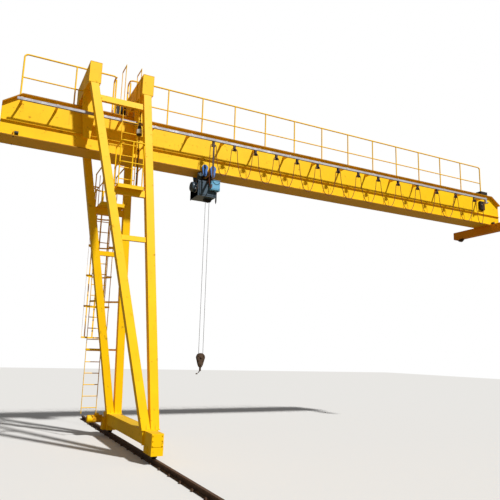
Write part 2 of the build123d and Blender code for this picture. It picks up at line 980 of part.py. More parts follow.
with BuildPart() as hook:
    top = block_top - 290
    rod((rope_x, 0, top - 120), (rope_x, 0, top), 26)
    centre = top - 120 - 110
    with BuildLine() as curve:
        Polyline((rope_x, 0, top - 110), (rope_x, 0, top - 121))
        ThreePointArc((rope_x, 0, top - 121), (rope_x + 85, 0, centre), (rope_x, 0, centre - 88))
        ThreePointArc((rope_x, 0, centre - 88), (rope_x - 70, 0, centre - 50), (rope_x - 92, 0, centre + 30))
    with BuildSketch(Plane(origin=curve.line @ 0, z_dir=curve.line % 0)) as section:
        Circle(27)
    sweep(section.sketch, path=curve.line, transition=Transition.ROUND)
save(hook, "hook")
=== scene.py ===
"""Looks of a weathered semi-gantry crane: finishes, hanging cable, ropes and small fittings."""

from __future__ import annotations

import json
import logging
import math
from collections.abc import Iterable
from dataclasses import dataclass
from enum import Enum
from itertools import product

import bmesh
import bpy
from mathutils import Matrix, Vector


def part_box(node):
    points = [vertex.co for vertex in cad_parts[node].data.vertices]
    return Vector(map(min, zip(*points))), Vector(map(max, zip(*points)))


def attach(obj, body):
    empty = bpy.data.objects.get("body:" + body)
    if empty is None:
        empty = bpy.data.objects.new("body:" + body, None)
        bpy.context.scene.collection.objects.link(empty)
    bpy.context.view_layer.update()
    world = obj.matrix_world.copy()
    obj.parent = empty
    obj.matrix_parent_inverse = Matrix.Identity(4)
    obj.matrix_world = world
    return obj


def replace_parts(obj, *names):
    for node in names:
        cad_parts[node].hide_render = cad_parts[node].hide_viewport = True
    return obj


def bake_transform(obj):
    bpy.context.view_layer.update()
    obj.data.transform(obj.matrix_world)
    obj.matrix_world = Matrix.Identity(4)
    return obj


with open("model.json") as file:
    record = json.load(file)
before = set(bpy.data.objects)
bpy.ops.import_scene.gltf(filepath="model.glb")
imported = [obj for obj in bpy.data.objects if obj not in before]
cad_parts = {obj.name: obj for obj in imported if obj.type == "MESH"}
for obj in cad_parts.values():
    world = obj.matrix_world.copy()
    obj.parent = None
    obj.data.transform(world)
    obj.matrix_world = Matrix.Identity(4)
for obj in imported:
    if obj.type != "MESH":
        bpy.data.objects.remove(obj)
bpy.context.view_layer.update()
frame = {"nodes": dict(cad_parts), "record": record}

log = logging.getLogger("crane")

Point = tuple[float, float, float]
Pair = tuple[float, float]
Socket = bpy.types.NodeSocket
Tree = bpy.types.NodeTree
Piece = bpy.types.Object
Mesh = bmesh.types.BMesh

BOTH = (-1, 1)
UP: Point = (0, 0, 1)
DOWN: Point = (0, 0, -1)
EVEN: Point = (1.0, 1.0, 1.0)

# Widths of broken edges in metres: sheet, thin plate and solid blocks
SHEET_EDGE = 0.001
PLATE_EDGE = 0.002
BLOCK_EDGE = 0.003


class Slot(Enum):
    """Finishes that the record names."""

    YELLOW = "crane_yellow"
    STEEL = "bare_steel"
    ZINC = "galvanised"
    GREY = "hoist_grey"
    BLUE = "hoist_blue"
    RUBBER = "black_rubber"
    CABLE = "cable_black"
    ROPE = "rope_steel"
    RAIL = "rail_steel"


class Coat(Enum):
    """Further finishes, each on pieces of one of the record's slots."""

    CREAM = "cream"
    DARK = "dark"
    FLANGE = "flange"
    RUSTY = "rusty"
    GREASY = "greasy"
    GRIMY = "grimy"
    DULL_BLUE = "dull_blue"
    LENS = "lens"


class Body(Enum):
    """Moving bodies that carry pieces of the scene."""

    TRACK = "track"
    CRANE = "crane"
    TROLLEY = "trolley"
    BLOCK = "hook_block"
    HOOK = "hook"


def linear(colour: str) -> tuple[float, float, float, float]:
    """Turn an sRGB hex value to linear RGBA.

    Args:
        colour: six hex digits.

    Returns:
        The linear colour with full alpha.
    """
    channels = [int(colour[i : i + 2], 16) / 255 for i in (0, 2, 4)]
    knee, slope, offset, power = 0.04045, 12.92, 0.055, 2.4
    values = [c / slope if c <= knee else ((c + offset) / (1 + offset)) ** power for c in channels]
    return (*values, 1.0)


def add_node(
    tree: Tree,
    kind: str,
    settings: dict[str, object] | None = None,
    links: dict[str | int, object] | None = None,
) -> bpy.types.Node:
    """Add one node with its settings, input values and links.

    Args:
        tree: node tree that takes it.
        kind: Blender's name of the node type.
        settings: attributes of the node.
        links: inputs by name or number, each a value or another node's output.

    Returns:
        The new node.
    """
    node = tree.nodes.new(kind)
    for name, value in (settings or {}).items():
        setattr(node, name, value)
    for key, value in (links or {}).items():
        if isinstance(value, Socket):
            tree.links.new(value, node.inputs[key])
        else:
            node.inputs[key].default_value = value
    return node


def new_material(name: str) -> tuple[bpy.types.Material, Tree, bpy.types.Node]:
    """Make an empty node material.

    Args:
        name: name of the material.

    Returns:
        The material, its tree and its output node.
    """
    material = bpy.data.materials.new(name)
    material.use_nodes = True
    tree = material.node_tree
    tree.nodes.clear()
    return material, tree, add_node(tree, "ShaderNodeOutputMaterial")


def ramp(tree: Tree, value: Socket, low: float, high: float) -> Socket:
    """Stretch a value so that low gives 0 and high gives 1."""
    settings = {"clamp": True, "interpolation_type": "SMOOTHSTEP"}
    links = {"Value": value, "From Min": low, "From Max": high}
    return add_node(tree, "ShaderNodeMapRange", settings, links).outputs[0]


def spread(tree: Tree, value: Socket, low: float, high: float) -> Socket:
    """Spread a value from 0 to 1 over low to high."""
    links = {"Value": value, "To Min": low, "To Max": high}
    return add_node(tree, "ShaderNodeMapRange", links=links).outputs[0]


def blend_colours(tree: Tree, share: Socket | float, low: object, high: object) -> Socket:
    """Mix two colours by a share from 0 to 1."""
    mix = add_node(tree, "ShaderNodeMix", {"data_type": "RGBA"}, {"Factor": share, 6: low, 7: high})
    return mix.outputs[2]


def combine(tree: Tree, operation: str, first: object, second: object = 0.0) -> Socket:
    """Join two values by a Math node's operation."""
    settings = {"operation": operation, "use_clamp": True}
    return add_node(tree, "ShaderNodeMath", settings, {0: first, 1: second}).outputs[0]


def layer(tree: Tree, mask: Socket, share: float, under: object, film: str) -> Socket:
    """Lay a film of colour over what is under it, as thick as the mask and the share allow."""
    return blend_colours(tree, combine(tree, "MULTIPLY", mask, share), under, linear(film))


def noise(tree: Tree, place: Socket, size_mm: float, detail: float, stretch: Point = EVEN) -> Socket:
    """Draw cloudy noise whose blotches are about size_mm wide.

    Args:
        tree: node tree that takes it.
        place: texture coordinates in metres.
        size_mm: width of a blotch.
        detail: octaves.
        stretch: how much each axis is squeezed, 1 for none.

    Returns:
        The noise value, from 0 to 1.
    """
    mapping = add_node(tree, "ShaderNodeMapping", links={"Vector": place, "Scale": stretch})
    links = {"Vector": mapping.outputs[0], "Scale": 1000 / size_mm, "Detail": detail, "Roughness": 0.62}
    return add_node(tree, "ShaderNodeTexNoise", links=links).outputs[0]


def relief(tree: Tree, strength: float, distance: float, height: Socket) -> Socket:
    """Turn a height in the texture to a shading normal."""
    links = {"Strength": strength, "Distance": distance, "Height": height}
    return add_node(tree, "ShaderNodeBump", links=links).outputs[0]


@dataclass(frozen=True)
class Finish:
    """Real surface that a material stands for."""

    name: str

    def build(self) -> bpy.types.Material:
        """Build the material from what the finish gives its shader.

        Returns:
            The new material.
        """
        material, tree, output = new_material(self.name)
        place = add_node(tree, "ShaderNodeTexCoord").outputs["Object"]
        shader = add_node(tree, "ShaderNodeBsdfPrincipled", links=self.inputs(tree, place))
        tree.links.new(shader.outputs[0], output.inputs[0])
        return material

    def inputs(self, tree: Tree, place: Socket) -> dict[str, object]:
        """Give the shader's inputs; each kind of finish has its own."""
        raise NotImplementedError


@dataclass(frozen=True)
class Enamel(Finish):
    """Alkyd enamel brushed on rolled steel: satin, chalked by sun, with rust bleeding through, and with
    painted shade laid on by how each face is turned.
    """

    paint: str
    chalked: str
    stain: str = "6E3B16"
    rust: str = "5A2C12"
    blotch_mm: float = 420
    streak_mm: float = 70
    speck_mm: float = 14
    chalk_share: float = 0.5
    rust_share: float = 0.12
    streak_share: float = 0.22
    roughness: float = 0.5
    specular: float = 0.2
    # Dust film on faces that look up; on the yellow paint it also dims the sunlit tops as painted shade
    dust: str = "A08A50"
    dust_and_top_shade_share: float = 0.35
    # Painted shade: a darker, browner film on faces that look down, broken up by noise
    grime: str = "5E3A14"
    under_shade_share: float = 0.35
    # Film on upright faces: rust on cut edges, and painted shade on the dark flange edges
    edge_rust_and_shade: str = "6A3F12"
    edge_rust_and_shade_share: float = 0.0

    def inputs(self, tree: Tree, place: Socket) -> dict[str, object]:
        """Paint with faded patches, run-down streaks and rust specks.

        Args:
            tree: node tree of the finish.
            place: texture coordinates in metres.

        Returns:
            The shader's inputs.
        """
        chalk = ramp(tree, noise(tree, place, self.blotch_mm, 5), 0.35, 0.75)
        faded = layer(tree, chalk, self.chalk_share, linear(self.paint), self.chalked)
        # Streaks are narrow across and six times as long down the wall
        streaks = ramp(tree, noise(tree, place, self.streak_mm, 3, (1.0, 1.0, 0.16)), 0.60, 0.80)
        stained = layer(tree, streaks, self.streak_share, faded, self.stain)
        flecks = ramp(tree, noise(tree, place, self.speck_mm, 4), 0.66, 0.74)
        patches = ramp(tree, noise(tree, place, self.blotch_mm / 3, 6), 0.60, 0.72)
        rusty = combine(tree, "MULTIPLY", combine(tree, "MAXIMUM", flecks, patches), self.rust_share * 4)
        worn = blend_colours(tree, rusty, stained, linear(self.rust))
        return {
            "Base Color": self.weather_and_paint_shade(tree, worn, chalk),
            "Roughness": spread(tree, rusty, self.roughness, 0.9),
            "Normal": relief(tree, 0.25, 0.002, noise(tree, place, self.speck_mm, 4)),
            "Specular IOR Level": self.specular,
        }

    def weather_and_paint_shade(self, tree: Tree, colour: Socket, cloud: Socket) -> Socket:
        """Lay dust on faces that look up, which on the yellow paint also dims their sunlit tops as painted
        shade; lay painted shade on faces that look down, and on upright ones a film that is partly rust and
        partly painted shade.

        Args:
            tree: node tree of the finish.
            colour: colour before weathering.
            cloud: uneven share that breaks up the film.

        Returns:
            The weathered colour with its painted shade.
        """
        normal = add_node(tree, "ShaderNodeNewGeometry").outputs["Normal"]
        rise = add_node(tree, "ShaderNodeSeparateXYZ", links={0: normal}).outputs["Z"]
        fall = combine(tree, "MULTIPLY", rise, -1.0)
        upright = combine(tree, "SUBTRACT", 1.0, combine(tree, "ABSOLUTE", rise))
        uneven = spread(tree, cloud, 0.65, 1.0)
        for facing, low, high, share, film in (
            (rise, 0.3, 0.95, self.dust_and_top_shade_share, self.dust),
            (fall, 0.3, 0.95, self.under_shade_share, self.grime),
            (upright, 0.5, 0.9, self.edge_rust_and_shade_share, self.edge_rust_and_shade),
        ):
            mask = combine(tree, "MULTIPLY", ramp(tree, facing, low, high), uneven)
            colour = layer(tree, mask, share, colour, film)
        return colour


@dataclass(frozen=True)
class RawMetal(Finish):
    """Unpainted steel, hot-dip zinc or cast iron: mottled, with dull oxide over a metal ground."""

    metal: str
    oxide: str
    spangle_mm: float = 25
    grime: float = 0.5
    metallic: float = 0.8
    roughness: float = 0.42

    def inputs(self, tree: Tree, place: Socket) -> dict[str, object]:
        """Show crystals or mill scale and patches of oxide.

        Args:
            tree: node tree of the finish.
            place: texture coordinates in metres.

        Returns:
            The shader's inputs.
        """
        links = {"Vector": place, "Scale": 1000 / self.spangle_mm}
        crystal = add_node(tree, "ShaderNodeTexVoronoi", links=links).outputs["Distance"]
        cloud = noise(tree, place, self.spangle_mm * 8, 6)
        mottle = combine(tree, "ADD", cloud, combine(tree, "MULTIPLY", crystal, 0.35))
        dull = combine(tree, "MULTIPLY", ramp(tree, mottle, 0.35, 0.85), self.grime)
        return {
            "Base Color": blend_colours(tree, dull, linear(self.metal), linear(self.oxide)),
            "Roughness": spread(tree, dull, self.roughness, 0.85),
            "Metallic": spread(tree, dull, self.metallic, 0.1),
            "Normal": relief(tree, 0.2, 0.001, cloud),
        }


@dataclass(frozen=True)
class Elastomer(Finish):
    """Extruded PVC sheath or moulded rubber: dark, slightly glossy, greyed by dust."""

    base: str
    dust: str
    grain_mm: float = 6
    roughness: float = 0.5

    def inputs(self, tree: Tree, place: Socket) -> dict[str, object]:
        """Show dusty patches and a fine grain.

        Args:
            tree: node tree of the finish.
            place: texture coordinates in metres.

        Returns:
            The shader's inputs.
        """
        dusty = ramp(tree, noise(tree, place, self.grain_mm * 20, 5), 0.4, 0.8)
        return {
            "Base Color": blend_colours(tree, dusty, linear(self.base), linear(self.dust)),
            "Roughness": self.roughness,
            "Normal": relief(tree, 0.15, 0.0005, noise(tree, place, self.grain_mm, 2)),
        }


@dataclass(frozen=True)
class StrandedRope(Finish):
    """Greased steel wire rope: dark strands laid in a helix, drawn coarse enough to show."""

    wire: str
    grease: str
    lay_mm: float = 60

    def inputs(self, tree: Tree, place: Socket) -> dict[str, object]:
        """Show slanting bands along the rope.

        Args:
            tree: node tree of the finish.
            place: texture coordinates in metres.

        Returns:
            The shader's inputs.
        """
        turn = (0.0, math.radians(55), 0.0)
        slant = add_node(tree, "ShaderNodeMapping", links={"Vector": place, "Rotation": turn}).outputs[0]
        links = {"Vector": slant, "Scale": 1000 / self.lay_mm}
        bands = add_node(tree, "ShaderNodeTexWave", links=links).outputs["Fac"]
        return {
            "Base Color": blend_colours(tree, bands, linear(self.grease), linear(self.wire)),
            "Metallic": 0.55,
            "Roughness": 0.45,
            "Normal": relief(tree, 0.6, 0.002, bands),
        }


FINISHES: dict[Slot | Coat, Finish] = {
    # Chrome-yellow alkyd on plate, sun-bleached in patches, with dust on its tops that also dims them as
    # painted shade, and painted shade on its undersides
    Slot.YELLOW: Enamel("chrome_yellow_enamel", "FFC800", "FFD600"),
    # Rolled steel polished by running, with brown oxide beside the bright band
    Slot.STEEL: RawMetal("rolled_steel", "7E7B78", "4A3526", roughness=0.35),
    # Hot-dip zinc that has gone matt and pale
    Slot.ZINC: RawMetal("hot_dip_zinc", "B6B6BC", "A29EA0", grime=0.6, roughness=0.55),
    # Slate-grey machine enamel of the hoist, glossy under dust, with painted shade on its downward faces
    Slot.GREY: Enamel(
        "slate_grey_enamel", "2F4352", "486070", stain="1E2326", rust="2A2522", chalk_share=0.6, specular=0.6,
        roughness=0.34, dust="4A5258", grime="1C2226",
    ),
    # Light blue enamel of the panel, faded to the sky's colour
    Slot.BLUE: Enamel("sky_blue_enamel", "68ACCE", "84BEDA", stain="3E5C6C", rust="4A4038", rust_share=0.06),
    # Moulded rubber of the buffers
    Slot.RUBBER: Elastomer("moulded_rubber", "1A1A1B", "2E2C2A"),
    # Sheath of the cable, red-brown with dust
    Slot.CABLE: Elastomer("pvc_sheath", "6A2C14", "7C3A1C"),
    # Steel wire rope in old grease
    Slot.ROPE: StrandedRope("greased_wire_rope", "6A6763", "35312E"),
    # Rolled rail in brown rust
    Slot.RAIL: RawMetal("rolled_rail_steel", "6B5A4C", "5B3D28", grime=0.9, metallic=0.6, roughness=0.6),
    # Cream enamel of a sheet steel cabinet, dirty along its seams
    Coat.CREAM: Enamel("cream_enamel", "D8CBA6", "C9BD9C", stain="6E6450", rust="6A4A30", rust_share=0.08),
    # Oily black-brown primer on the hoist's brackets
    Coat.DARK: Enamel("oiled_primer", "2A2622", "3A342E", stain="171412", rust="3E2A1C", rust_share=0.2),
    # Yellow flange plates whose upright edges carry a brown film, partly rust and partly painted shade
    Coat.FLANGE: Enamel("browned_and_shaded_flange_enamel", "F4B800", "FAC810", edge_rust_and_shade_share=0.85),
    # Orange-brown rust through thin yellow on the carriage by the building
    Coat.RUSTY: Enamel(
        "rust_bled_enamel", "F09A08", "E08808", rust_share=0.16, streak_share=0.5, roughness=0.7,
        edge_rust_and_shade_share=0.1,
    ),
    # Cast steel under old grease, brown with dust
    Coat.GREASY: RawMetal("greasy_cast_steel", "5C4632", "3A2818", grime=0.8, metallic=0.35, roughness=0.5),
    # Zinc under cable dirt, dark violet-brown on the carriers
    Coat.GRIMY: RawMetal("soiled_zinc", "5C4A46", "35241E", grime=0.8, metallic=0.4, roughness=0.55),
    # Deep blue on the trolley's leaf plates, dulled by oil
    Coat.DULL_BLUE: Enamel(
        "oiled_blue_enamel", "4576BE", "5A8CD0", stain="25355A", rust="2E2C38", rust_share=0.08,
    ),
    # Frosted glass of the lamp
    Coat.LENS: Enamel(
        "frosted_glass", "C9CFCC", "B4BAB4", stain="84837A", rust="6A6456", rust_share=0.02, roughness=0.3,
    ),
}


NODE_COATS: dict[str, Coat] = {
    "girder_top_flange": Coat.FLANGE,
    "girder_bottom_flange": Coat.FLANGE,
    "building_end_carriage": Coat.RUSTY,
    "building_end_wheels": Coat.GREASY,
    "control_cabinet": Coat.CREAM,
    "hook_block": Coat.GREASY,
    "hook_sheave": Coat.GREASY,
    "hook": Coat.GREASY,
    "trolley_plates": Coat.DULL_BLUE,
    "trolley_beams": Coat.DARK,
    "tow_arm": Coat.GRIMY,
}


class Paintshop:
    """Builds each finish once, puts it on pieces and keeps a list of them."""

    def __init__(self) -> None:
        """Build every finish."""
        self.materials = {slot: finish.build() for slot, finish in FINISHES.items()}
        self.pieces: list[str] = []

    def dress(self, piece: Piece, slot: Slot | Coat) -> None:
        """Give a piece the finish of a slot.

        Args:
            piece: object to paint.
            slot: finish that it gets.
        """
        piece.data.materials.clear()
        piece.data.materials.append(self.materials[slot])
        self.pieces.append(piece.name)

    def dress_frame(self) -> None:
        """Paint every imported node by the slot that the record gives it, or by its own coat."""
        for part in frame["record"]["subparts"]:
            node = frame["nodes"][part["node"]]
            material = self.materials[NODE_COATS.get(part["node"], Slot(part["material_slot"]))]
            if not node.material_slots:
                node.data.materials.append(material)
            for held in node.material_slots:
                held.material = material


def make_piece(name: str, mesh: bpy.types.Mesh) -> Piece:
    """Put a mesh into the scene as a new object.

    Args:
        name: name of the object.
        mesh: its shape.

    Returns:
        The new object.
    """
    piece = bpy.data.objects.new(name, mesh)
    bpy.context.scene.collection.objects.link(piece)
    return piece


def mesh_from(name: str, shape: Mesh) -> bpy.types.Mesh:
    """Turn a bmesh into a mesh with outward normals.

    Args:
        name: name of the mesh.
        shape: the bmesh, which is used up.

    Returns:
        The new mesh.
    """
    bmesh.ops.recalc_face_normals(shape, faces=shape.faces)
    mesh = bpy.data.meshes.new(name)
    shape.to_mesh(mesh)
    shape.free()
    return mesh


def add_ring(
    shape: Mesh, centre: Vector, first: Vector, second: Vector, radii: list[float], spin: float = 0.0
) -> list[bmesh.types.BMVert]:
    """Add a ring of points round a centre.

    Args:
        shape: bmesh that takes it.
        centre: middle of the ring.
        first: direction of its first point.
        second: direction a quarter turn further.
        radii: distance of each point from the centre.
        spin: turn of the first point in radians.

    Returns:
        The ring's points.
    """
    angles = [spin + 2 * math.pi * index / len(radii) for index in range(len(radii))]
    offsets = [(first * math.cos(a) + second * math.sin(a)) * r for a, r in zip(angles, radii)]
    return [shape.verts.new(centre + offset) for offset in offsets]


def join_rings(shape: Mesh, rings: list[list[bmesh.types.BMVert]]) -> None:
    """Join rings of as many points to a closed tube with two caps.

    Args:
        shape: bmesh that holds the rings.
        rings: the rings in order.
    """
    sides = len(rings[0])
    for low, high in zip(rings, rings[1:]):
        for side in range(sides):
            other = (side + 1) % sides
            shape.faces.new((low[side], low[other], high[other], high[side]))
    shape.faces.new(list(reversed(rings[0])))
    shape.faces.new(rings[-1])


def sweep_tube(shape: Mesh, path: list[Vector], radii: list[float], sides: int) -> None:
    """Add a capped tube that follows a path.

    Args:
        shape: bmesh that takes it.
        path: points of its centre line.
        radii: half the tube's width at each point.
        sides: facets round it.
    """
    rings = []
    across = Vector((0, 1, 0))
    for index, point in enumerate(path):
        along = (path[min(index + 1, len(path) - 1)] - path[max(index - 1, 0)]).normalized()
        if abs(along.dot(across)) > 0.95:
            across = Vector((1, 0, 0))
        second = along.cross(across).normalized()
        first = second.cross(along).normalized()
        rings.append(add_ring(shape, point, first, second, [radii[index]] * sides))
    join_rings(shape, rings)


def nurbs_path(points: list[Point], resolution: int) -> list[Vector]:
    """Read the smooth line that a route's points control.

    Args:
        points: control points in metres.
        resolution: steps for each point.

    Returns:
        Points along the spline.
    """
    curve = bpy.data.curves.new("route", "CURVE")
    curve.dimensions = "3D"
    curve.resolution_u = resolution
    spline = curve.splines.new("NURBS")
    spline.points.add(len(points) - 1)
    for place, point in zip(spline.points, points):
        place.co = (*point, 1.0)
    spline.order_u = 3
    spline.use_endpoint_u = True
    holder = bpy.data.objects.new("route", curve)
    line = bpy.data.meshes.new_from_object(holder)
    path = [vertex.co.copy() for vertex in line.vertices]
    bpy.data.objects.remove(holder)
    bpy.data.curves.remove(curve)
    bpy.data.meshes.remove(line)
    return path


def row(first: float, pitch: float, count: int) -> list[float]:
    """Places of a row of like pieces."""
    return [first + index * pitch for index in range(count)]


def round_axes(axis: Point) -> tuple[Vector, Vector, Vector]:
    """Direction of an axis, and two directions square to it."""
    along = Vector(axis).normalized()
    first = along.orthogonal().normalized()
    return along, first, along.cross(first)


@dataclass(frozen=True)
class Fins:
    """Ring of thin fins round a motor, measured from the motor's seat and axis."""

    start: float
    length: float
    root: float
    depth: float
    count: int
    thickness: float = 0.004


@dataclass(frozen=True)
class Motor:
    """Shell of a motor and, where it shows, its fan cowl, as radius and distance from its seat."""

    sides: int
    shell: tuple[Pair, ...]
    fins: Fins
    cowl: tuple[Pair, ...] = ()
    slats: Fins | None = None


class Assembly:
    """Gathers the solids of one piece, then hands it over painted and riding on its body."""

    def __init__(self, shop: Paintshop, name: str, slot: Slot | Coat, body: Body) -> None:
        """Start an empty piece.

        Args:
            shop: where it gets its finish.
            name: name of the piece.
            slot: finish that it gets.
            body: moving body that carries it.
        """
        self.shop = shop
        self.name = name
        self.slot = slot
        self.body = body
        self.crease = math.radians(35)
        self.shape = bmesh.new()

    def plate(self, outline: list[Point], depth: Point, chamfer: float = PLATE_EDGE) -> None:
        """Add a flat plate with broken edges.

        Args:
            outline: corners in order.
            depth: how far and which way the outline is pushed.
            chamfer: width of the broken edge.
        """
        push = Vector(depth)
        low = [self.shape.verts.new(Vector(corner)) for corner in outline]
        high = [self.shape.verts.new(Vector(corner) + push) for corner in outline]
        join_rings(self.shape, [low, high])
        edges = {edge for vert in (*low, *high) for edge in vert.link_edges}
        bmesh.ops.bevel(self.shape, geom=list(edges), offset=chamfer, segments=1, affect="EDGES")

    def box(self, corner: Point, other: Point, chamfer: float = BLOCK_EDGE) -> None:
        """Add an upright block with broken edges.

        Args:
            corner: one corner.
            other: the corner across from it.
            chamfer: width of the broken edge.
        """
        (left, right), (near, far), (low, high) = (sorted(ends) for ends in zip(corner, other))
        outline = [(left, near, low), (right, near, low), (right, far, low), (left, far, low)]
        self.plate(outline, (0, 0, high - low), chamfer)

    def strip(self, start: Point, end: Point, across: Point, width: float, depth: float) -> None:
        """Add a flat bar from start to end.

        Args:
            start: middle of one end.
            end: middle of the other end.
            across: direction of its width.
            width: size along that direction.
            depth: size square to it.
        """
        along = Vector(end) - Vector(start)
        side = Vector(across).normalized() * width / 2
        push = along.normalized().cross(side).normalized() * depth
        first = Vector(start) - push / 2
        self.plate([first - side, first + side, first + side + along, first - side + along], push)

    def turned(
        self, seat: Point, axis: Point, profile: Iterable[Pair], sides: int = 20, spin: float = 0.0
    ) -> None:
        """Add a body turned about an axis.

        Args:
            seat: where the axis starts.
            axis: its direction.
            profile: pairs of radius and height along the axis.
            sides: facets round it.
            spin: turn of the first facet in radians.
        """
        along, first, second = round_axes(axis)
        rings = []
        for radius, height in profile:
            centre = Vector(seat) + along * height
            rings.append(add_ring(self.shape, centre, first, second, [radius] * sides, spin))
        join_rings(self.shape, rings)

    def bolt(self, seat: Point, axis: Point, across: float) -> None:
        """Add a hexagon head on a washer, with the thread's end showing.

        Args:
            seat: middle of the face that it stands on.
            axis: direction in which it stands out.
            across: width of the head over its flats.
        """
        half = across / 2
        self.turned(seat, axis, [(1.35 * half, 0), (1.35 * half, 0.14 * across)], 16)
        head = [(1.1 * half, 0.14 * across), (1.1 * half, 0.7 * across), (0.9 * half, 0.82 * across)]
        self.turned(seat, axis, head, 6, math.fsum(seat) * 7)
        self.turned(seat, axis, [(0.5 * half, 0.8 * across), (0.45 * half, 1.1 * across)], 10)

    def bolts(self, seats: Iterable[Point], axis: Point, across: float) -> None:
        """Add a bolt on every seat."""
        for seat in seats:
            self.bolt(seat, axis, across)

    def bolt_circle(self, centre: Point, way: int, radius: float, count: int, across: float) -> None:
        """Add bolts round an axis that runs along X.

        Args:
            centre: middle of the circle, at the height of the seats.
            way: direction of the heads along X, -1 or 1.
            radius: distance of the bolts from the axis.
            count: number of bolts.
            across: width of a head.
        """
        angles = [2 * math.pi * (step + 0.5) / count for step in range(count)]
        x, y, z = centre
        rim = [(x, y + radius * math.cos(a), z + radius * math.sin(a)) for a in angles]
        self.bolts(rim, (way, 0, 0), across)

    def bead(self, start: Point, end: Point, radius: float, pitch: float = 0.05) -> None:
        """Add a weld bead with its ripples.

        Args:
            start: one end of the bead.
            end: its other end.
            radius: half the bead's width.
            pitch: length of a ripple.
        """
        line = Vector(end) - Vector(start)
        steps = max(2, round(line.length / pitch))
        path = [Vector(start) + line * step / steps for step in range(steps + 1)]
        radii = [radius * (1 + 0.16 * math.sin(2.4 * step)) for step in range(steps + 1)]
        sweep_tube(self.shape, path, radii, 5)

    def seam(self, middle: Point, reach: Point, radius: float) -> None:
        """Add a weld bead that reaches as far to both sides of its middle."""
        ends = [tuple(m + way * r for m, r in zip(middle, reach)) for way in BOTH]
        self.bead(*ends, radius)

    def frame_bead(self, corners: list[Point], radius: float) -> None:
        """Add weld beads round a closed outline."""
        for start, end in zip(corners, [*corners[1:], corners[0]]):
            self.bead(start, end, radius)

    def motor(self, seat: Point, axis: Point, motor: Motor) -> None:
        """Add a motor's shell with its fins and its cowl with its slats.

        Args:
            seat: where the motor's axis starts.
            axis: direction of that axis.
            motor: its shape.
        """
        for profile, fins in ((motor.shell, motor.fins), (motor.cowl, motor.slats)):
            if profile:
                self.turned(seat, axis, profile, motor.sides)
                self.set_fins(seat, axis, fins)

    def set_fins(self, seat: Point, axis: Point, fins: Fins) -> None:
        """Set thin fins round an axis.

        Args:
            seat: where the motor's axis starts.
            axis: direction of that axis.
            fins: their sizes and number.
        """
        along, first, second = round_axes(axis)
        for index in range(fins.count):
            angle = 2 * math.pi * index / fins.count
            out = first * math.cos(angle) + second * math.sin(angle)
            foot = Vector(seat) + along * fins.start + out * (fins.root + fins.depth / 2)
            self.strip(foot, foot + along * fins.length, out, fins.depth, fins.thickness)

    def object(self) -> Piece:
        """Turn what was gathered into a painted object that rides on nothing yet.

        Returns:
            The painted object.
        """
        mesh = mesh_from(self.name, self.shape)
        for face in mesh.polygons:
            face.use_smooth = True
        mesh.set_sharp_from_angle(angle=self.crease)
        piece = make_piece(self.name, mesh)
        self.shop.dress(piece, self.slot)
        return piece

    def mount(self) -> Piece:
        """Turn what was gathered into a painted object that rides on its body."""
        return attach(self.object(), self.body.value)


@dataclass
class SubAssembly:
    """Set of pieces from one paintshop, which ride on one body unless they name another."""

    shop: Paintshop
    body = Body.CRANE

    def start(self, name: str, slot: Slot | Coat = Slot.YELLOW, body: Body | None = None) -> Assembly:
        """Start an empty piece of this set."""
        return Assembly(self.shop, name, slot, body or self.body)


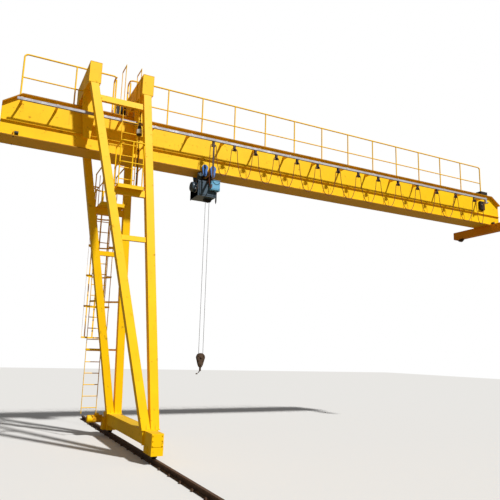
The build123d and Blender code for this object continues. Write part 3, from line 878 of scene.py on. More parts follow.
@dataclass
class Festoon(SubAssembly):
    """Cable that hangs in loops from carriers in the track, towed by the trolley."""

    body = Body.TROLLEY
    track_y: float = -0.62
    saddle_top: float = 7.84
    end_x: float = 12.19
    carrier_count: int = 14
    carrier_first: float = 1.64
    carrier_step: float = 0.62
    carrier_growth: float = 0.0115
    loop_drop: float = 0.83
    shoulder: float = 0.05
    turn: float = 0.035
    # How far in and how far down a loop's points are, from its saddle to its lowest point
    hang: tuple[Pair, ...] = ((0.0, 0.0), (0.03, 0.11), (0.08, 0.31), (0.20, 0.58), (0.42, 0.83), (0.72, 1.0))
    cable_radius: float = 0.009
    clearance: float = 0.0003
    resolution: int = 6
    sides: int = 8

    @property
    def top(self) -> float:
        """Height of the cable's centre line on a saddle."""
        return self.saddle_top + self.cable_radius + self.clearance

    def saddle_x(self, index: int) -> float:
        """Place of one carrier along the track."""
        if index == self.carrier_count:
            return self.end_x
        return self.carrier_first + index * self.carrier_step + index * index * self.carrier_growth

    def route(self, left: float, right: float) -> list[Point]:
        """Control points of one loop, from the top of one saddle to the next.

        Args:
            left: place of the loop's first saddle.
            right: place of its second saddle.

        Returns:
            The loop's route in metres.
        """
        y, top = self.track_y, self.top
        side = left + self.shoulder + self.turn
        other = right - self.shoulder - self.turn
        inset = (other - side) / 2
        drop = self.loop_drop - self.turn
        high = top - self.turn
        falling = [(side + across * inset, y, high - share * drop) for across, share in self.hang]
        rising = [(other - across * inset, y, high - share * drop) for across, share in self.hang]
        lead_in = [(left, y, top), (left + self.shoulder, y, top)]
        return [*lead_in, *falling, *reversed(rising), (right - self.shoulder, y, top), (right, y, top)]

    def share(self, x: float) -> float:
        """How much a point follows the crane and not the trolley, eased back for the blend.

        Args:
            x: place along the track.

        Returns:
            The step along the blend's line at which its smooth curve reaches the even share.
        """
        even = (x - self.carrier_first) / (self.end_x - self.carrier_first)
        even = min(max(even, 0.0), 1.0)
        return 0.5 - math.sin(math.asin(1 - 2 * even) / 3)

    def sheath(self, made: Assembly, points: list[Point]) -> list[Vector]:
        """Sweep the cable along a route.

        Args:
            made: piece that takes it.
            points: the route's control points.

        Returns:
            The cable's centre line.
        """
        path = nurbs_path(points, self.resolution)
        sweep_tube(made.shape, path, [self.cable_radius] * len(path), self.sides)
        return path

    def declare(self, piece: Piece, path: list[Vector], start: Point) -> None:
        """Take a finished piece of cable; nothing more is done with it.

        Args:
            piece: the cable's object; not used.
            path: its centre line; not used.
            start: where it leaves its first saddle; not used.
        """

    def hang_loop(self, index: int) -> None:
        """Build one loop of the cable.

        Args:
            index: number of its first carrier.
        """
        left, right = self.saddle_x(index), self.saddle_x(index + 1)
        points = self.route(left, right)
        made = self.start(f"festoon_loop_{index + 1}", Slot.CABLE)
        made.crease = math.pi
        path = self.sheath(made, points)
        loop = made.object()
        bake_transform(loop)
        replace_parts(loop, "festoon_cable")
        self.declare(loop, path, points[0])

    def build(self) -> None:
        """Hang every loop of the cable."""
        for index in range(self.carrier_count):
            self.hang_loop(index)


@dataclass
class Carriers(SubAssembly):
    """Runners in the track that hold the cable, towed along by the trolley."""

    festoon: Festoon
    body = Body.TROLLEY
    track_bottom: float = 7.94
    axle_rise: float = 0.028
    bridge_drop: float = 0.015
    half_width: float = 0.035
    plate: float = 0.005
    shoe_radius: float = 0.055
    shoe_steps: int = 14
    roller_radius: float = 0.021
    roller_x: float = 0.036
    # A line so long that a carrier's own length counts for nothing beside it
    long_line: float = 1000.0
    # The tail's points after the saddle: along the track, across it, and the height
    tail: tuple[Point, ...] = (
        (-0.092, 0, 7.56),
        (-0.096, 0, 7.24),
        (-0.086, 0.005, 6.90),
        (-0.050, 0.03, 6.69),
        (0.020, 0.10, 6.63),
        (0.072, 0.16, 6.70),
        (0.085, 0.20, 6.78),
        (0.092, 0.232, 6.80),
    )

    def shape(self, name: str, x: float) -> Piece:
        """Build one carrier: rollers, stem, bridge, bolted cheeks, the cable's shoe and its keeper.

        Args:
            name: name of the piece.
            x: place along the track.

        Returns:
            The carrier's object.
        """
        y, top, half = self.festoon.track_y, self.festoon.saddle_top, self.half_width
        axle_z = self.track_bottom + self.axle_rise
        bridge = self.track_bottom - self.bridge_drop
        made = self.start(name, Coat.GRIMY)
        roller = [(0.012, 0), (self.roller_radius, 0.001), (self.roller_radius, 0.013), (0.008, 0.016)]
        for way, side in product(BOTH, BOTH):
            made.turned((x + way * self.roller_x, y + side * 0.006, axle_z), (0, side, 0), roller, 16)
        made.box((x - 0.05, y - self.plate, self.track_bottom - 0.005), (x + 0.05, y + self.plate, axle_z))
        made.box((x - 0.03, y - half, bridge), (x + 0.03, y + half, bridge + 0.010))
        for side in BOTH:
            inner, outer = y + side * (half - self.plate), y + side * half
            made.box((x - 0.028, inner, top - self.shoe_radius), (x + 0.028, outer, bridge), SHEET_EDGE)
            made.bolt((x, outer, top + 0.04), (0, side, 0), 0.012)
        arc = [math.pi * step / self.shoe_steps for step in range(self.shoe_steps + 1)]
        radius = self.shoe_radius
        shoe = [(x + radius * math.cos(a), y - half, top - radius * (1 - math.sin(a))) for a in arc]
        made.plate(shoe, (0, 2 * half, 0))
        keeper, inset = top + 2 * self.festoon.cable_radius + 0.001, half - self.plate
        made.box((x - 0.012, y - inset, keeper), (x + 0.012, y + inset, keeper + 0.004), SHEET_EDGE)
        return made.object()

    def place_moving(self, index: int) -> None:
        """Put one carrier on the track in place of the imported carriers; its share of the trolley's travel
        is worked out but not used.

        Args:
            index: number of the carrier.
        """
        x = self.festoon.saddle_x(index)
        piece = self.shape(f"carrier_{index}", x)
        start = x - self.festoon.share(x) * self.long_line
        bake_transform(piece)
        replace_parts(piece, "festoon_carriers")

    def hang_feed(self) -> None:
        """Hang the cable's tail between the towed carrier and the panel."""
        x, y, top = self.festoon.saddle_x(0), self.festoon.track_y, self.festoon.top
        shoulder, turn = self.festoon.shoulder, self.festoon.turn
        bend = [(x - shoulder, y, top), (x - shoulder - turn, y, top - turn)]
        points = [(x, y, top), *bend, *((x + along, y + across, z) for along, across, z in self.tail)]
        made = self.start("hoist_feed_cable", Slot.CABLE)
        path = self.festoon.sheath(made, points)
        self.festoon.declare(made.mount(), path, points[0])

    def build(self) -> None:
        """Make every carrier and the cable's tail."""
        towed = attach(self.shape("towed_carrier", self.festoon.saddle_x(0)), Body.TROLLEY.value)
        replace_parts(towed, "tow_carrier")
        for index in range(1, self.festoon.carrier_count):
            self.place_moving(index)
        self.hang_feed()


@dataclass
class HoistRopes(SubAssembly):
    """Two falls of wire rope, each a twist of six strands."""

    top_z: float = 6.47
    bottom_z: float = 2.17
    rope_x: float = 1.78
    top_offset: float = 0.055
    groove: float = 0.060
    radius: float = 0.006
    strand_depth: float = 0.0012
    strands: int = 6
    lay: float = 0.08
    steps_a_turn: int = 8

    def fall(self, side: int, name: str) -> None:
        """Build one fall between the drum and the sheave.

        Args:
            side: which of the two falls, -1 or 1.
            name: name of the piece.
        """
        start = Vector((self.rope_x + side * self.top_offset, 0, self.top_z))
        line = Vector((self.rope_x + side * self.groove, 0, self.bottom_z)) - start
        steps = int(line.length / self.lay * self.steps_a_turn)
        radii = [self.radius, self.radius - self.strand_depth] * self.strands
        shape = bmesh.new()
        rings = []
        for step in range(steps + 1):
            twist = 2 * math.pi * step / self.steps_a_turn
            centre = start + line * step / steps
            rings.append(add_ring(shape, centre, Vector((1, 0, 0)), Vector((0, 1, 0)), radii, twist))
        join_rings(shape, rings)
        rope = make_piece(name, mesh_from(name, shape))
        self.shop.dress(rope, Slot.ROPE)
        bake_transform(rope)
        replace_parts(rope, "hoist_ropes")

    def build(self) -> None:
        """Build both falls."""
        self.fall(-1, "left_fall")
        self.fall(1, "right_fall")


@dataclass
class Girder(SubAssembly):
    """Welds and small fittings of the box girder, its track, its handrail and its yokes."""

    bead: float = 0.007
    slope: float = 0.42
    pitch: float = 1.02
    # Place along the girder and height of each plug in the web
    plugs: tuple[Pair, ...] = ((1.37, 7.54), (1.56, 7.54))
    left_arms: tuple[float, ...] = (-3.2, -2.4, -1.35, -0.85, 0.0)
    arm_first: float = 1.0
    arm_count: int = 12
    left_posts: tuple[float, ...] = (-1.97, -0.95, -0.57)
    post_first: float = 0.5
    post_count: int = 13
    middle_rail: float = 0.552
    yoke_places: Pair = (-1.64, -0.32)
    yoke_half: float = 0.14
    top_z: float = 8.25
    # Half a pedestal's width along the girder and across it
    pedestal: Pair = (0.09, 0.21)

    def welds(self) -> None:
        """Lay the long beads between webs, flanges and stiffeners."""
        low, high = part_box("girder_near_web")
        rib_low, rib_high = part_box("girder_stiffeners")
        made = self.start("girder_welds")
        small = 0.7 * self.bead
        lines = (
            (0.0, low.z, self.bead),
            (self.slope, high.z, self.bead),
            (0.0, rib_high.z, small),
            (0.0, rib_low.z, small),
        )
        for y in (-abs(low.y), abs(low.y)):
            for inset, z, radius in lines:
                made.bead((low.x + inset, y, z), (high.x - inset, y, z), radius)
            for x in (low.x, high.x):
                made.bead((x, y, low.z), (x, y, high.z - 0.3), self.bead)
        made.mount()

    def drain_plugs(self) -> None:
        """Fit the two small round plugs in the near web."""
        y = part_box("girder_near_web")[0].y
        made = self.start("web_plugs", Coat.DARK)
        for x, z in self.plugs:
            made.turned((x, y, z), (0, -1, 0), [(0.026, 0), (0.026, 0.006), (0.021, 0.010)], 20)
            made.turned((x, y - 0.010, z), (0, -1, 0), [(0.011, 0), (0.010, 0.009)], 6)
        made.mount()

    def track_clamps(self) -> None:
        """Clamp the festoon track under each arm."""
        low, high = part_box("festoon_track")
        made = self.start("track_clamps", Slot.ZINC)
        seat_z = high.z + 0.010
        for x in (*self.left_arms, *row(self.arm_first, self.pitch, self.arm_count)):
            for y in (low.y - 0.004, high.y):
                made.box((x - 0.03, y, high.z - 0.042), (x + 0.03, y + 0.004, high.z + 0.004), SHEET_EDGE)
            made.bolt((x, (low.y + high.y) / 2, seat_z), UP, 0.019)
            made.bolt((x, high.y + 0.11, seat_z), UP, 0.016)
        made.mount()

    def rail_joints(self) -> None:
        """Weld the rails to their posts and bolt down the posts' feet."""
        low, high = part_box("left_handrail")
        foot_z = low.z + 0.008
        middle_z = foot_z + self.middle_rail
        made = self.start("handrail_joints")
        for x in (*self.left_posts, *row(self.post_first, self.pitch, self.post_count)):
            sleeve = [(0.020, 0), (0.025, 0.010), (0.025, 0.034), (0.020, 0.044)]
            made.turned((x, 0, middle_z - 0.022), UP, sleeve, 14)
            made.turned((x, 0, high.z - 0.055), UP, [(0.019, 0), (0.024, 0.020)], 14)
            made.turned((x, 0, foot_z), UP, [(0.026, 0), (0.020, 0.008)], 14)
            made.bolts([(x + side * 0.033, side * 0.030, foot_z) for side in BOTH], UP, 0.013)
        made.mount()

    def hanger_fittings(self) -> None:
        """Weld and bolt the side plates of both yokes."""
        _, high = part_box("girder_hangers")
        made = self.start("hanger_fittings")
        for x, side in product(self.yoke_places, BOTH):
            y = side * high.y
            made.seam((x, y, high.z), (0.17, 0, 0), 0.008)
            made.bolts(product((x - 0.12, x + 0.12), (y,), (8.33, 8.45, 8.57)), (0, side, 0), 0.030)
            for z in (7.604, 8.064):
                made.seam((x, y, z), (0.05, 0, 0), 0.006)
        made.mount()

    def yoke_fittings(self) -> None:
        """Add joint plates over the legs and weld the edges of both yokes and their pedestals."""
        low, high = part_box("yokes")
        across, along = self.pedestal
        plate_half, inner, outer, inset = 0.135, 0.665, 0.876, 0.018
        made = self.start("yoke_fittings")
        for x, side in product(self.yoke_places, BOTH):
            end, foot = side * high.y, side * along
            for z in (low.z, high.z):
                made.seam((x, end, z), (self.yoke_half, 0, 0), 0.006)
            for way in BOTH:
                edge, corner = x + way * self.yoke_half, x + way * across
                made.bead((edge, end, low.z), (edge, end, high.z), 0.006)
                for z in (low.z, high.z):
                    made.seam((edge, 0, z), (0, end, 0), 0.004)
                made.bead((corner, foot, self.top_z), (corner, 0, self.top_z), 0.008)
            for z in (self.top_z, low.z):
                made.seam((x, foot, z), (across, 0, 0), 0.008)
            face = low.z - inset
            near = (x - plate_half, side * inner, face)
            made.box(near, (x + plate_half, side * outer, low.z + 0.001), PLATE_EDGE)
            places = (side * (inner + inset), side * (outer - inset))
            made.bolts(product((x - 0.117, x + 0.117), places, (face,)), DOWN, 0.024)
        made.mount()

    def stop_bolts(self) -> None:
        """Bolt the trolley stops through the bottom flange."""
        low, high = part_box("trolley_stop_brackets")
        made = self.start("stop_bolts", Slot.STEEL)
        for x, side in product((low.x, high.x), BOTH):
            y = side * (high.y - 0.03)
            made.bolt((x, y, low.z - 0.020), DOWN, 0.024)
            made.seam((x, y, low.z), (0, 0.03, 0), 0.006)
        made.mount()

    def build(self) -> None:
        """Build every fitting of the girder."""
        self.welds()
        self.drain_plugs()
        self.track_clamps()
        self.rail_joints()
        self.hanger_fittings()
        self.yoke_fittings()
        self.stop_bolts()


@dataclass
class LegFrames(SubAssembly):
    """Welds and foot ribs of the four leaning legs, and the welds of their ties."""

    half: float = 0.095
    foot_z: float = 0.64
    head_z: float = 8.69
    tie_half: float = 0.05
    # Height of each tie's middle and its depth
    ties: tuple[Pair, ...] = ((8.33, 0.15), (6.0, 0.17), (4.86, 0.12))

    def centre(self, side: int, outer: bool, height: float) -> Vector:
        """Centre of a leg at a height.

        Args:
            side: near frame (-1) or far frame (1).
            outer: whether it is the leg away from the hoist.
            height: height above the ground in metres.

        Returns:
            The point on the leg's axis.
        """
        foot_x, head_x = (-0.1, -1.64) if outer else (0.1, -0.32)
        foot_y, head_y = 1.66, 0.785
        share = (height - self.foot_z) / (self.head_z - self.foot_z)
        y = foot_y + share * (head_y - foot_y)
        return Vector((foot_x + share * (head_x - foot_x), side * y, height))

    def tie_welds(self) -> None:
        """Lay a bead round both ends of every tie."""
        made = self.start("tie_welds")
        reach = self.tie_half
        for side, (z, depth), outer in product(BOTH, self.ties, (True, False)):
            way = self.half if outer else -self.half
            low, high = (self.centre(side, outer, z + sign * depth / 2) for sign in BOTH)
            ends = ((low, -reach), (low, reach), (high, reach), (high, -reach))
            made.frame_bead([(point.x + way, point.y + across, point.z) for point, across in ends], 0.008)
        made.mount()

    def foot_welds(self) -> None:
        """Weld the legs' feet and heads, and stiffen each foot with two ribs."""
        made = self.start("leg_end_welds")
        signs = ((-1, -1), (1, -1), (1, 1), (-1, 1))
        for side, outer in product(BOTH, (True, False)):
            for z in (self.foot_z, self.head_z):
                middle = self.centre(side, outer, z)
                corners = [(middle.x + a * self.half, middle.y + b * self.half, z) for a, b in signs]
                made.frame_bead(corners, 0.009)
            foot = self.centre(side, outer, self.foot_z)
            for way in BOTH:
                y = foot.y + way * self.half
                places = ((y, self.foot_z), (y + way * 0.022, self.foot_z), (y - side * 0.01, 0.76))
                made.plate([(foot.x, across, z) for across, z in places], (0.012, 0, 0), SHEET_EDGE)
        made.mount()

    def seams(self) -> None:
        """Run a thin seam up the four corners of each box leg."""
        made = self.start("leg_seams")
        reach = self.half - 0.001
        for side, outer, a, b in product(BOTH, (True, False), BOTH, BOTH):
            shift = Vector((a * reach, b * reach, 0))
            heights = (self.foot_z + 0.02, self.head_z - 0.02)
            low, high = (self.centre(side, outer, z) + shift for z in heights)
            made.bead(low, high, 0.004, 0.09)
        made.mount()

    def build(self) -> None:
        """Build every fitting of the leg frames."""
        self.tie_welds()
        self.foot_welds()
        self.seams()


@dataclass
class Platforms(SubAssembly):
    """Stiffening, ribs and posts of the decks between the legs."""

    left: float = -0.99
    right: float = -0.375
    deck_low: float = 6.085
    deck_top: float = 6.125
    angle_depth: float = 0.05
    plate: float = 0.006
    rail_top: float = 7.208
    middle_z: float = 6.675
    edge: float = 0.025
    tie_y: float = 1.077
    tie_gap: float = 0.055
    pitch: float = 0.06
    # Side, inner and outer edge of each deck
    spans: tuple[tuple[int, float, float], ...] = ((-1, 0.69, 1.29), (1, 0.52, 1.70))
    # Side, open end and closed end of each guard rail
    rails: tuple[tuple[int, float, float], ...] = ((-1, 0.715, 1.265), (1, 1.675, 0.545))

    def bearers(self) -> None:
        """Put angle bars under the deck's edges and bearers across it."""
        made = self.start("deck_bearers")
        low, high = self.deck_low - self.angle_depth, self.deck_low
        for side, inner, outer in self.spans:
            for y in (inner, outer - self.plate):
                made.box((self.left, side * y, low), (self.right, side * (y + self.plate), high), SHEET_EDGE)
            runs = ((inner, self.tie_y - self.tie_gap), (self.tie_y + self.tie_gap, outer))
            places = (self.left, (self.left + self.right) / 2, self.right - self.plate)
            for (start, end), x in product(runs, places):
                made.box((x, side * start, low), (x + self.plate, side * end, high), SHEET_EDGE)
        made.mount()

    def tread(self) -> None:
        """Lay raised ribs on the decks, as chequer plate has."""
        made = self.start("deck_treads")
        half, z = 0.014, self.deck_top
        for side, inner, outer in self.spans:
            rows = int((outer - inner - 0.04) / self.pitch)
            columns = int((self.right - self.left - 0.06) / self.pitch)
            for across, along in product(range(rows), range(columns)):
                x = self.left + 0.05 + along * self.pitch
                y = side * (inner + 0.05 + across * self.pitch)
                lean = half if (across + along) % 2 else -half
                made.strip((x - half, y - lean, z), (x + half, y + lean, z), UP, 0.004, 0.006)
        made.mount()

    def posts(self) -> None:
        """Add corner posts and bolt down the feet of every post."""
        made = self.start("platform_rail_posts")
        left, right = self.left + self.edge, self.right - self.edge
        corner, radius = 0.075, 0.015
        foot = [(0.036, 0), (0.036, 0.006), (0.022, 0.007), (0.018, 0.016)]
        for side, back, front in self.rails:
            turn = front + math.copysign(corner, back - front)
            for x in (left, right):
                height = self.rail_top - self.deck_top
                made.turned((x, side * turn, self.deck_top), UP, [(radius, 0), (radius, height)], 14)
            others = ((left, back), (right, back), ((left + right) / 2, front))
            for x, y in ((left, turn), (right, turn), *others):
                made.turned((x, side * y, self.deck_top), UP, foot, 18)
                for z in (self.middle_z, self.rail_top):
                    sleeve = [(radius, 0), (0.020, 0.012), (0.020, 0.024)]
                    made.turned((x, side * y, z - 0.026), UP, sleeve, 14)
                made.bolts(product((x - 0.026, x + 0.026), (side * y,), (self.deck_top + 0.006,)), UP, 0.009)
        made.mount()

    def build(self) -> None:
        """Build every fitting of the platforms."""
        self.bearers()
        self.tread()
        self.posts()


@dataclass
class Ladders(SubAssembly):
    """Rung ends, standoff brackets and cage rivets of both ladders."""

    legs: LegFrames
    # Middle of each ladder, height of its first rung and number of rungs
    upper: tuple[float, float, float, int] = (-0.67, -0.71, 6.425, 7)
    lower: tuple[float, float, float, int] = (-0.64, 1.79, 0.77, 18)
    pitch: float = 0.30
    outer_face: float = 0.202
    stringer: float = 0.012
    bracket_heights: tuple[float, ...] = (2.3, 3.6, 4.9)
    cage_radius: float = 0.35
    cage_y: float = 1.812
    # First height, spacing and number of the cage's hoops, and its uprights' places in degrees
    hoops: tuple[float, float, int] = (2.62, 0.85, 6)
    bars: tuple[float, ...] = (10, 50, 90, 130, 170)

    def rung_ends(self) -> None:
        """Show the rungs' welded ends outside and their fillets inside the stringers."""
        made = self.start("rung_welds")
        for x, y, low, count in (self.upper, self.lower):
            for z, way in product(row(low, self.pitch, count), BOTH):
                face = x + way * self.outer_face
                made.turned((face, y, z), (way, 0, 0), [(0.014, 0), (0.009, 0.003)], 10)
                inside = (x + way * (self.outer_face - self.stringer), y, z)
                made.turned(inside, (-way, 0, 0), [(0.018, 0), (0.0125, 0.006)], 12)
        made.mount()

    def brackets(self) -> None:
        """Tie the lower ladder back to the far legs with flat bars."""
        made = self.start("ladder_brackets")
        x, y, _, _ = self.lower
        for z, way in product(self.bracket_heights, BOTH):
            leg = self.legs.centre(1, way < 0, z)
            made.strip((x + way * 0.196, y - 0.022, z), (leg.x, leg.y + 0.09, z), UP, 0.05, 0.006)
            made.bolt((x + way * self.outer_face, y, z), (way, 0, 0), 0.018)
        made.mount()

    def cage_rivets(self) -> None:
        """Rivet the cage's uprights to its hoops."""
        made = self.start("cage_rivets")
        for z, angle in product(row(*self.hoops), self.bars):
            out = Vector((math.cos(math.radians(angle)), math.sin(math.radians(angle)), 0))
            seat = Vector((self.lower[0], self.cage_y, z)) + out * self.cage_radius
            made.turned(seat, out, [(0.010, 0), (0.009, 0.003), (0.004, 0.006)], 10)
        made.mount()

    def build(self) -> None:
        """Build every fitting of the ladders."""
        self.rung_ends()
        self.brackets()
        self.cage_rivets()


@dataclass
class GroundCarriage(SubAssembly):
    """Bearing caps, bolts and geared motor of the beam on the ground rail."""

    wheel_y: float = 2.01
    axle_z: float = 0.27
    housing_x: float = 0.13
    housing_half: float = 0.27
    beam_x: float = 0.15
    beam_end: float = 1.72
    # Half width, lowest and highest edge of the end plates and of the joint flanges
    end_plate: Point = (0.125, 0.36, 0.61)
    flange: Point = (0.175, 0.32, 0.635)
    end_bolts: tuple[float, ...] = (0.385, 0.485, 0.585)
    flange_bolts: tuple[float, ...] = (0.35, 0.43, 0.51, 0.59)
    # The gearbox: its two faces, its half width and its heights
    gearbox: Pair = (-0.22, -0.13)
    gearbox_half: float = 0.105
    gearbox_z: Pair = (0.165, 0.505)
    gearbox_bolts: tuple[float, ...] = (0.19, 0.26, 0.33, 0.48)
    motor_z: float = 0.46
    motor_shape: Motor = Motor(
        sides=36,
        shell=((0.108, 0), (0.108, 0.018), (0.086, 0.022), (0.084, 0.26), (0.096, 0.262)),
        fins=Fins(start=0.03, length=0.23, root=0.085, depth=0.016, count=32),
        cowl=(
            (0.096, 0.262), (0.104, 0.266), (0.104, 0.380), (0.096, 0.405), (0.086, 0.410),
            (0.084, 0.402), (0.030, 0.402), (0.028, 0.410), (0.010, 0.412),
        ),
        slats=Fins(start=0.408, length=0.004, root=0.032, depth=0.050, count=16),
    )

    def bearings(self) -> None:
        """Close each axle hole with a bolted bearing cap, apart from the one behind the gearbox."""
        made = self.start("bearing_caps")
        cap = [(0.078, 0), (0.078, 0.010), (0.074, 0.014), (0.045, 0.014), (0.040, 0.024), (0.012, 0.026)]
        for side, way in ((-1, -1), (-1, 1), (1, 1)):
            x, y = way * self.housing_x, side * self.wheel_y
            made.turned((x, y, self.axle_z), (way, 0, 0), cap, 32)
            made.bolt_circle((x + way * 0.012, y, self.axle_z), way, 0.060, 4, 0.016)
        made.mount()

    def plates(self) -> None:
        """Bolt end plates and joint flanges to both housings, and weld the beam's seams."""
        made = self.start("housing_flanges")
        for side in BOTH:
            outer = side * (self.wheel_y + self.housing_half)
            face = outer + side * 0.010
            half, low, high = self.end_plate
            made.box((-half, outer, low), (half, face, high), PLATE_EDGE)
            made.bolts(product((-0.1, 0.1), (face,), self.end_bolts), (0, side, 0), 0.022)
            inner = side * (self.wheel_y - self.housing_half)
            face = inner - side * 0.016
            half, low, high = self.flange
            made.box((-half, face, low), (half, inner + side * 0.001, high), PLATE_EDGE)
            made.bolts(product((-0.162, 0.162), (face,), self.flange_bolts), (0, -side, 0), 0.020)
        for way, z in product(BOTH, (0.34, 0.62)):
            made.seam((way * self.beam_x, 0, z), (0, self.beam_end, 0), 0.006)
        made.mount()

    def drive(self) -> None:
        """Build the geared motor: cast case, flange, finned shell, fan cowl and terminal box."""
        made = self.start("travel_drive")
        face, back = self.gearbox
        half, (base, top) = self.gearbox_half, self.gearbox_z
        y, z, out = self.wheel_y, self.motor_z, (-1, 0, 0)
        gland = [(0.014, 0), (0.014, 0.014), (0.009, 0.026)]
        made.box((face, y - half, base), (back, y + half, top), 0.018)
        made.box((face - 0.006, y - 0.085, 0.19), (face, y + 0.085, 0.31))
        made.bolts(product((face,), (y - 0.09, y + 0.09), self.gearbox_bolts), out, 0.014)
        made.motor((face, y, z), out, self.motor_shape)
        made.box((face - 0.21, y - 0.055, z + 0.085), (face - 0.10, y + 0.055, z + 0.145), 0.005)
        made.turned((face - 0.155, y - 0.055, z + 0.112), (0, -1, 0), gland, 6)
        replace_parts(made.mount(), "ground_travel_motor")

    def build(self) -> None:
        """Build every piece of the ground carriage."""
        self.bearings()
        self.plates()
        self.drive()


@dataclass
class GroundRail(SubAssembly):
    """Clips and joint plates that hold the ground rail."""

    body = Body.TRACK
    half_length: float = 6.0
    spacing: float = 0.6
    joints: Pair = (-3.3, 3.3)
    clip_half: float = 0.035
    # The clip's section: distance from the rail's middle and height, over its top and back
    clip: tuple[Pair, ...] = (
        (0.042, 0.020), (0.042, 0.030), (0.066, 0.034), (0.098, 0.022),
        (0.098, 0.0), (0.066, 0.0), (0.066, 0.015),
    )

    def clips(self) -> None:
        """Clamp the rail's foot on both sides."""
        made = self.start("rail_clips", Slot.RAIL)
        for index in range(int(2 * self.half_length / self.spacing)):
            y = -self.half_length + self.spacing * (index + 0.5)
            for way in BOTH:
                section = [(way * x, y - self.clip_half, z) for x, z in self.clip]
                made.plate(section, (0, 2 * self.clip_half, 0), 0.0015)
                made.bolt((way * 0.078, y, 0.028), UP, 0.022)
        made.mount()

    def fishplates(self) -> None:
        """Join the rail's lengths with bolted plates."""
        made = self.start("rail_joint_plates", Slot.RAIL)
        for y, way in product(self.joints, BOTH):
            face = way * 0.024
            made.box((way * 0.012, y - 0.24, 0.030), (face, y + 0.24, 0.068), PLATE_EDGE)
            places = [y + offset for offset in (-0.18, -0.07, 0.07, 0.18)]
            made.bolts(product((face,), places, (0.049,)), (way, 0, 0), 0.020)
        made.mount()

    def build(self) -> None:
        """Build every fitting of the rail."""
        self.clips()
        self.fishplates()


@dataclass
class BuildingCarriage(SubAssembly):
    """Joint plate, seams, covers, terminal boxes and conduit at the building end."""

    x: float = 12.85
    half_width: float = 0.12
    half_length: float = 1.35
    low: float = 6.89
    high: float = 7.15
    # Half width, half length and thickness of the joint plate, and the reach of its bolts
    joint_half: Pair = (0.20, 0.33)
    joint_depth: float = 0.016
    joint_bolt_x: float = 0.16
    joint_bolt_y: tuple[float, ...] = (-0.28, -0.14, 0.0, 0.14, 0.28)
    axle_y: float = 1.12
    axle_cover: tuple[Pair, ...] = ((0.060, 0), (0.060, 0.010), (0.034, 0.012), (0.030, 0.022))
    conduit_z: float = 7.86
    conduit_radius: float = 0.013
    # The conduit's control points seen from above
    conduit: tuple[Pair, ...] = (
        (12.25, -0.62), (12.30, -0.62), (12.40, -0.62), (12.40, -0.45), (12.40, -0.306),
    )
    # Opposite corners of the box on the web, of its lid, of the box on the girder and of its lid
    web_box: tuple[Point, Point] = ((12.33, -0.30, 7.68), (12.56, -0.221, 8.0))
    web_lid: tuple[Point, Point] = ((12.34, -0.308, 7.69), (12.55, -0.300, 7.99))
    top_box: tuple[Point, Point] = ((12.35, -0.33, 8.25), (12.69, -0.10, 8.36))
    top_lid: tuple[Point, Point] = ((12.343, -0.329, 8.352), (12.697, -0.094, 8.366))

    def joint(self) -> None:
        """Bolt the carriage to the girder, weld its seams and cover its ends and axles."""
        made = self.start("carriage_joint", Coat.RUSTY)
        under = self.high - self.joint_depth
        half, reach = self.joint_half
        made.box((self.x - half, -reach, under), (self.x + half, reach, self.high), PLATE_EDGE)
        places = (self.x - self.joint_bolt_x, self.x + self.joint_bolt_x)
        made.bolts(product(places, self.joint_bolt_y, (under,)), DOWN, 0.030)
        for way, z in product(BOTH, (self.low, self.high)):
            made.seam((self.x + way * self.half_width, 0, z), (0, self.half_length, 0), 0.006)
        for side in BOTH:
            end = side * self.half_length
            corner = (self.x - 0.135, end, self.low - 0.012)
            made.box(corner, (self.x + 0.135, end - side * 0.008, self.high - 0.004), PLATE_EDGE)
            for way in BOTH:
                x, y, z = self.x + way * self.half_width, side * self.axle_y, self.low + 0.02
                made.turned((x, y, z), (way, 0, 0), self.axle_cover, 28)
                made.bolt_circle((x + way * 0.010, y, z), way, 0.046, 4, 0.014)
        made.mount()

    def boxes(self) -> None:
        """Hang the terminal box on the web, with its lid, screws and glands, and set one on top."""
        made = self.start("terminal_box", Coat.DARK)
        screw = [(0.007, 0), (0.006, 0.004)]
        gland = [(0.016, 0), (0.016, 0.014), (0.011, 0.030)]
        made.box(*self.web_box, 0.006)
        made.box(*self.web_lid)
        for x, z in product((12.355, 12.535), (7.705, 7.975)):
            made.turned((x, self.web_lid[0][1], z), (0, -1, 0), screw, 12)
        for x in (12.38, 12.445, 12.51):
            made.turned((x, -0.26, self.web_box[0][2]), DOWN, gland, 8)
        made.box(*self.top_box, 0.008)
        made.box(*self.top_lid)
        made.mount()

    def run_conduit(self) -> None:
        """Run the stiff conduit from the cable's clamp to the terminal box."""
        made = self.start("terminal_conduit", Slot.ZINC)
        path = nurbs_path([(x, y, self.conduit_z) for x, y in self.conduit], 8)
        sweep_tube(made.shape, path, [self.conduit_radius] * len(path), 12)
        made.turned((12.40, -0.330, self.conduit_z), (0, 1, 0), [(0.019, 0), (0.019, 0.020)], 6)
        made.mount()

    def build(self) -> None:
        """Build every fitting of the building end."""
        self.joint()
        self.boxes()
        self.run_conduit()


